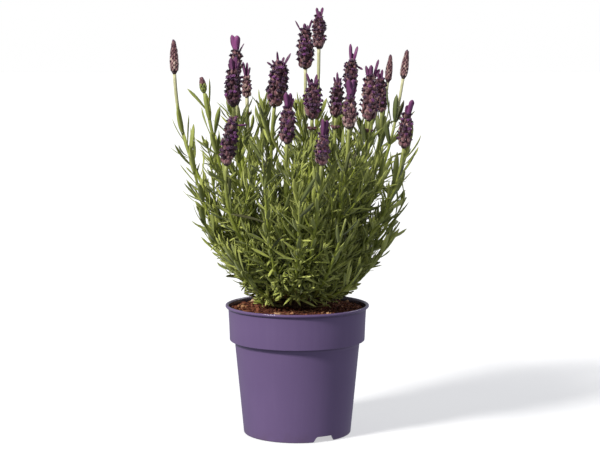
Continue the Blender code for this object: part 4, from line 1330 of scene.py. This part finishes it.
# a withered whorl of calyces left below these heads: how far below the base (m)
WHORLS = {9: 0.0085, 3: 0.0100, 12: 0.0095, 5: 0.0150, 15: 0.0090}


def gather():
    return {key: [] for key in ("base", "heading", "upper", "length", "width", "bend", "twist", "look")}


def lay(b, rows, slot, stations, section, **more):
    if rows["base"]:
        r = {k: np.array(v) for k, v in rows.items()}
        blades(b, r["base"], r["heading"], r["upper"], r["length"], r["width"], r["bend"], r["twist"], r["look"], slot,
               stations, section, **more)


def row_of(rows, base, heading, upper, length, width, bend, twist, tone, rand):
    for key, value in zip(("base", "heading", "upper", "length", "width", "bend", "twist", "look"),
                          (base, heading, upper, length, width, bend, twist, (0, tone, 0, rand))):
        rows[key].append(value)


def make_head(index, head, line):
    rng = np.random.default_rng(7000 + index)
    base, axis, body, half, ears, ear = head
    open_share, pale = HEAD_LOOKS[index]
    one = unit(np.cross(axis, [0.0, 1.0, 0.0]))
    two = np.cross(axis, one)
    b = Build()
    bud = ears == 0
    scale = float(np.clip(half / 0.0068, 0.55, 1.2))
    t = np.linspace(0, 1, 12)
    if bud:
        stops, shape = [0, 0.08, 0.28, 0.55, 0.74, 0.90, 1.0], [0.36, 0.80, 0.92, 0.80, 0.56, 0.36, 0.16]
    else:
        stops, shape = [0, 0.05, 0.20, 0.62, 0.82, 1.0], [0.34, 0.62, 0.80, 0.76, 0.60, 0.32]
    pos = base + axis * (body * t)[:, None]
    pos[0] = base - axis * 0.0006
    look = np.stack([t * 0, t * 0 + 0.05, t * 0, t * 0 + 0.3], -1)
    tube(b, pos, np.tile(one, (12, 1)), np.tile(two, (12, 1)), half * np.interp(t, stops, shape) * 0.84, look, 0, sides=12)
    bracts, lobes, green = gather(), gather(), gather()
    plump = 1.28 if index == 1 else 1.0
    cal = {key: [] for key in ("centre", "axis", "one", "two", "length", "radius", "look")}
    flo = {key: [] for key in ("centre", "axis", "one", "two", "length", "radius", "look")}

    def spindle(to, centre, ax, s1, s2, length, radius, tone, rand):
        for key, value in zip(("centre", "axis", "one", "two", "length", "radius", "look"),
                              (centre, ax, s1, s2, length, radius, (0, tone, 0, rand))):
            to[key].append(value)

    if bud:
        rows = max(5, int(round(body * 0.88 / (0.0027 * max(scale, 0.62)))))
        around = 7
        for k in range(rows):
            u = (k + 0.2) / rows * 0.92
            r = half * np.interp(u, stops, shape)
            for j in range(around):
                a = 2 * math.pi * (j + 0.5 * (k % 2)) / around + rng.normal(0, 0.05) + 0.7 * index
                out = math.cos(a) * one + math.sin(a) * two
                lift = math.radians(11 + rng.normal(0, 3) - 7 * u)
                size = 0.0052 * scale * rng.uniform(0.92, 1.1) * (1.0 - 0.25 * u)
                tone = float(np.clip(pale * (1.1 - 0.75 * u) + rng.normal(0.02, 0.13), 0, 1))
                row_of(green if index == 1 and u < 0.50 + rng.normal(0, 0.06) else bracts, base + axis * (body * u) + out * r * 0.90 * plump,
                       unit(axis * math.cos(lift) + out * math.sin(lift)),
                       unit(-out * math.cos(lift) + axis * math.sin(lift)), size, size * 0.66 * plump, rng.normal(0.30, 0.06),
                       rng.normal(0, 0.08), tone, rng.uniform())
    else:
        rows = max(5, int(round(body * 0.95 / 0.0037)))
        around = 7 if half > 0.0060 else 6
        for k in range(rows):
            for j in range(around):
                u = float(np.clip((k + 0.35 + rng.normal(0, 0.16)) / rows, 0.0, 0.97))
                r = half * np.interp(u, stops, shape) * rng.uniform(0.92, 1.06)
                a = 2 * math.pi * (j + 0.5 * (k % 2)) / around + rng.normal(0, 0.15) + 0.7 * index
                out = math.cos(a) * one + math.sin(a) * two
                # the broad bract that the florets stand over
                lift = math.radians(17 + rng.normal(0, 6) + (8 if u < 0.15 else 0) - 9 * u)
                size = 0.0053 * scale * rng.uniform(0.86, 1.15)
                tone = float(np.clip(pale * (1.15 - 0.70 * u) * 0.85 + rng.normal(0.06, 0.18), 0, 1))
                row_of(bracts, base + axis * (body * u - 0.0008) + out * r * 0.90, unit(axis * math.cos(lift) + out * math.sin(lift)),
                       unit(-out * math.cos(lift) + axis * math.sin(lift)), size, size * 0.86, rng.normal(0.40, 0.1),
                       rng.normal(0, 0.1), tone, rng.uniform())
                # calyces, one over the bract and one between it and its neighbour
                for shift, share in ((0.0, 1.0), (math.pi / around, 0.75)):
                    if rng.uniform() > share:
                        continue
                    a2 = a + shift + rng.normal(0, 0.06)
                    out2 = math.cos(a2) * one + math.sin(a2) * two
                    lift2 = math.radians(46 + rng.normal(0, 10) - (16 if u < 0.12 else 0) - 26 * max(0.0, u - 0.6) / 0.4)
                    cal_axis = unit(axis * math.cos(lift2) + out2 * math.sin(lift2))
                    cal_len = 0.0041 * scale * rng.uniform(0.78, 1.18)
                    centre = base + axis * (body * u + 0.0006 + rng.normal(0, 0.0003)) + out2 * (r * 0.84) + cal_axis * cal_len * 0.22
                    s1 = unit(np.cross(cal_axis, axis))
                    s2 = np.cross(cal_axis, s1)
                    tone2 = float(np.clip(tone * 0.70 + 0.32 + rng.normal(0, 0.20), 0, 1))
                    spindle(cal, centre, cal_axis, s1, s2, cal_len, 0.00105 * scale, tone2, rng.uniform())
                    open_here = open_share * np.interp(u, [0, 0.10, 0.30, 0.8, 1.0], [0.05, 0.30, 0.80, 0.84, 0.5])
                    if rng.uniform() < open_here:
                        tip = centre + cal_axis * cal_len * 0.44
                        tone3 = float(np.clip(rng.normal(0.25, 0.38), 0, 1))
                        rand = rng.uniform()
                        spindle(flo, tip, cal_axis, s1, s2, 0.0024 * scale, rng.uniform(0.00085, 0.00120) * scale, tone3, rand)
                        spin = rng.uniform(0, 2 * math.pi)
                        for q in range(5):
                            b_ang = spin + q * 2 * math.pi / 5
                            away = math.cos(b_ang) * s1 + math.sin(b_ang) * s2
                            lift3 = math.radians(rng.uniform(50, 80))
                            row_of(lobes, tip + cal_axis * 0.0006 * scale + away * 0.0004 * scale,
                                   unit(cal_axis * math.cos(lift3) + away * math.sin(lift3)),
                                   unit(cal_axis * math.sin(lift3) - away * math.cos(lift3)),
                                   0.00135 * scale * rng.uniform(0.85, 1.15), 0.00150 * scale, -0.6, 0.0, tone3, rand)
    if index in WHORLS:
        lengths = arc_lengths(line)
        s = lengths[-1] - WHORLS[index]
        p, tan, w1, w2 = (v[0] for v in frames_along(line, [s]))
        for q in range(7):
            a = q * 2 * math.pi / 7 + rng.normal(0, 0.15)
            out = math.cos(a) * w1 + math.sin(a) * w2
            lift = math.radians(rng.uniform(35, 60))
            ax = unit(tan * math.cos(lift) + out * math.sin(lift))
            s1 = unit(np.cross(ax, tan))
            spindle(cal, p + out * 0.0014 + ax * 0.0014, ax, s1, np.cross(ax, s1), 0.0040, 0.0010, rng.uniform(0.30, 0.6), rng.uniform())
            if q % 2:
                row_of(bracts, p + out * 0.0012, unit(out * 0.9 + tan * 0.5), unit(tan * 0.9 - out * 0.5), 0.0052, 0.0034,
                       -0.5, 0.1, rng.uniform(0.35, 0.6), rng.uniform())
    lay(b, bracts, 0, 6, LEAF_SECTION, shape="bract", thick=0.8)
    lay(b, green, 3, 6, LEAF_SECTION, shape="bract", thick=0.8)
    for store, slot, rings, ribs in ((cal, 0, 5, 0.12), (flo, 1, 5, 0.0)):
        if store["centre"]:
            c = {k: np.array(v) for k, v in store.items()}
            ellipsoids(b, c["centre"], c["axis"], c["one"], c["two"], c["length"], c["radius"], c["look"], slot, rings, 7, ribs)
    lay(b, lobes, 1, 4, PLAIN_SECTION, shape="petal")
    blade = gather()
    if ears:
        top = base + axis * body
        for dx, dz, width, bright, dy in EARS[index]:
            lean_side = np.array([1.0, 0, 0])
            start = top - axis * body * 0.10 + lean_side * float(np.clip(dx * 0.28, -half * 600, half * 600)) * 0.001
            start = start + np.array([0, np.clip(dy * 0.45, -2, 2) * 0.001, 0])
            tip = top + lean_side * dx * 0.001 + axis * dz * 0.001 + np.array([0, dy * 0.001, 0])
            chord = tip - start
            length = np.linalg.norm(chord)
            ahead = chord / length
            inward = unit(np.array([-0.35 * np.sign(dx) * min(1.0, abs(dx) / 3), -np.sign(dy), 0.0]))
            inward = unit(inward - ahead * (inward @ ahead))
            bend = rng.uniform(-0.42, 0.12)
            turn = -0.46 * bend
            heading = unit(ahead * math.cos(turn) + inward * math.sin(turn))
            row_of(blade, start, heading, inward, length * 1.01, width * 0.001, bend, rng.normal(0, 0.22), bright, rng.uniform())
        lay(b, blade, 2, 12, LEAF_SECTION, shape="ear", thick=0.45, wave=0.20,
            wave_seed=rng.uniform(size=len(blade["base"])))
    else:
        for q in range(6):
            a = q * 2 * math.pi / 6 + 0.4
            out = math.cos(a) * one + math.sin(a) * two
            row_of(blade, base + axis * (body * 0.80) + out * half * 0.26, unit(axis - out * 0.05), unit(-out - axis * 0.05),
                   body * 0.20 * rng.uniform(0.85, 1.05), half * 0.46, 0.06, 0.0, 0.16, rng.uniform())
        lay(b, blade, 2, 10, LEAF_SECTION, shape="ear", thick=0.6)
    obj = b.make(f"flower_spike_{index + 1:02d}", [BRACT, FLORET, EAR, LEAF] if index == 1 else [BRACT, FLORET, EAR])
    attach(obj, "root")
    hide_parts(f"flower_head_{index + 1:02d}")
    return obj


# =====================================================================================
# Woody crown
# =====================================================================================
def make_crown(lines):
    rng = np.random.default_rng(55)
    b = Build()
    centre = np.array([0.0, 0.0, 0.1010])
    for i, line in enumerate(lines):
        foot = line[0]
        tangent = unit(line[2] - line[0])
        start = centre + np.array([foot[0], foot[1], 0]) * 0.25
        pts = bezier(start, start + np.array([foot[0] * 0.3, foot[1] * 0.3, 0.004]), foot - tangent * 0.004, foot + tangent * 0.002, 9)
        pts[1:-2] += rng.normal(0, 0.00035, pts[1:-2].shape)
        total = arc_lengths(pts)[-1]
        pos, tan, one, two = frames_along(pts, np.linspace(0, total, 12))
        radii = np.linspace(0.0034, 0.0019, 12) * (1 + rng.normal(0, 0.06, 12))
        radii[-1] *= 0.8
        tube(b, pos, one, two, radii, (0, 0.5, 0, rng.uniform()), 0, sides=9)
    n = 24
    t = np.linspace(0, 1, n)
    prof = 0.0098 * np.sqrt(np.clip(1 - (t * 1.0) ** 2.4, 0, 1)) + 0.0004
    pos = np.stack([np.zeros(n), np.zeros(n), 0.0985 + 0.0150 * t], -1)
    a = np.arange(28) / 28 * 2 * math.pi
    ring = []
    for k in range(n):
        for q in a:
            wob = 1 + 0.16 * noise.noise(Vector((math.cos(q) * 2.1, math.sin(q) * 2.1, t[k] * 4)))
            ring.append(pos[k] + prof[k] * wob * np.array([math.cos(q), math.sin(q), 0]))
    b.add(np.array(ring), [ring_faces(n, 28), np.arange(28)[None, ::-1], (np.arange(28) + 28 * (n - 1))[None, :]], (0, 0.5, 0, 0.5))
    for way, thick, tone in (
        (((-0.009, -0.009, 0.1075), (-0.018, -0.018, 0.1085), (-0.027, -0.021, 0.1120), (-0.036, -0.024, 0.1145)), 0.00115, 0.30),
        (((-0.010, 0.004, 0.1080), (-0.022, 0.002, 0.1105), (-0.033, -0.006, 0.1150), (-0.044, -0.010, 0.1185)), 0.00095, 0.26),
        (((0.008, -0.011, 0.1075), (0.016, -0.021, 0.1085), (0.022, -0.029, 0.1110), (0.026, -0.036, 0.1130)), 0.00095, 0.24),
        (((0.007, 0.010, 0.1080), (0.014, 0.020, 0.1095), (0.020, 0.030, 0.1120), (0.024, 0.038, 0.1150)), 0.00105, 0.28),
    ):
        pts = bezier(*(np.array(q) for q in way), 14)
        pts[1:-1] += rng.normal(0, 0.0002, pts[1:-1].shape)
        total = arc_lengths(pts)[-1]
        pos, tan, one, two = frames_along(pts, np.linspace(0, total, 14))
        share = np.linspace(0, 1, 14)
        rows = np.stack([tone * (0.35 + 0.65 * share), share * 0 + 0.5, share * 0, share * 0 + 0.4], -1)
        tube(b, pos, one, two, thick * np.interp(share, [0, 0.8, 0.97, 1.0], [1.15, 0.9, 0.8, 0.35]), rows, 1, sides=8)
    obj = b.make("woody_branching_crown", [BARK, STALK])
    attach(obj, "root")
    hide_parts("woody_crown")
    return obj


# =====================================================================================
# Assembly
# =====================================================================================
lines, heads = skeleton()
guards = [(base - axis * 0.002, base + axis * (body + ear * 0.8), half * 0.95) for base, axis, body, half, ears, ear in heads]

outstanding = edge_leaves(lines, guards)
print("outstanding leaves", sum(len(v) for v in outstanding.values()))

pot = make_pot()
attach(pot, "root")
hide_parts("pot")

soil = make_soil(np.random.default_rng(11))
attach(soil, "root")
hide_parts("soil")

crumbs = make_crumbs(np.random.default_rng(12))
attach(crumbs, "root")

make_crown(lines)

for i, row in enumerate(FLOWER_HEADS):
    make_stem(f"leafy_flower_stalk_{i + 1:02d}", f"flower_stalk_{i + 1:02d}", i, lines[i], row[8] * 0.001, True, guards,
              outstanding.get(i, ()))
    make_head(i, heads[i], lines[i])
for j in range(len(LEAFY_SHOOTS)):
    k = len(FLOWER_HEADS) + j
    make_stem(f"foliage_shoot_{j + 1:02d}", f"leafy_shoot_{j + 1:02d}", k, lines[k], 0.0, False, guards, outstanding.get(k, ()))

# =====================================================================================
# Studio
# =====================================================================================
floor_build = Build()
revolve_build(floor_build, [(0.0, 0.0), (0.4, 0.0), (1.5, 0.0), (30.0, 0.0)], 96)
floor = floor_build.make("studio_floor", [FLOOR])
for v in floor.data.vertices:
    v.co.z = -0.0002
fix_normals(floor)
if floor.data.polygons[0].normal.z < 0:
    floor.data.flip_normals()
floor.visible_diffuse = False
floor.visible_glossy = False

world = bpy.data.worlds.new("studio")
bpy.context.scene.world = world
world.use_nodes = True
tree = world.node_tree
background = tree.nodes["Background"]
path = tree.nodes.new("ShaderNodeLightPath")
level = tree.nodes.new("ShaderNodeMapRange")
tree.links.new(path.outputs["Is Camera Ray"], level.inputs["Value"])
level.inputs["To Min"].default_value = 0.34
level.inputs["To Max"].default_value = 1.0
tree.links.new(level.outputs["Result"], background.inputs["Strength"])
tint = tree.nodes.new("ShaderNodeMix")
tint.data_type = "RGBA"
tree.links.new(path.outputs["Is Camera Ray"], tint.inputs["Factor"])
tint.inputs[6].default_value = (0.92, 0.96, 1.10, 1.0)
tint.inputs[7].default_value = (1.0, 1.0, 1.0, 1.0)
tree.links.new(tint.outputs[2], background.inputs["Color"])


def sun(name, azimuth, elevation, strength, spread, colour):
    """azimuth is measured from the camera's side of the object, positive to the right."""
    data = bpy.data.lights.new(name, "SUN")
    data.energy = strength
    data.angle = math.radians(spread)
    data.color = colour
    obj = bpy.data.objects.new(name, data)
    bpy.context.scene.collection.objects.link(obj)
    a, e = math.radians(azimuth), math.radians(elevation)
    towards = Vector((math.sin(a) * math.cos(e), -math.cos(a) * math.cos(e), math.sin(e)))
    obj.rotation_euler = (-towards).to_track_quat("-Z", "Y").to_euler()
    return obj


sun("key", -50.0, 38.0, 4.1, 11.0, (1.0, 0.985, 0.955))
sun("side_fill", 72.0, 12.0, 0.26, 40.0, (0.84, 0.78, 1.0))
sun("back_fill", 140.0, 42.0, 0.6, 30.0, (0.94, 0.97, 1.0))

camera_data = bpy.data.cameras.new("camera")
camera_data.sensor_width = 36.0
camera_data.lens = 96.5
camera_data.shift_x = 0.0
camera = bpy.data.objects.new("camera", camera_data)
bpy.context.scene.collection.objects.link(camera)
camera.location = (0.0023, -1.332, 0.3137)
camera.rotation_euler = (math.radians(90 - 5.963), 0.0, 0.0)
bpy.context.scene.camera = camera
bpy.context.scene.view_settings.view_transform = "Standard"
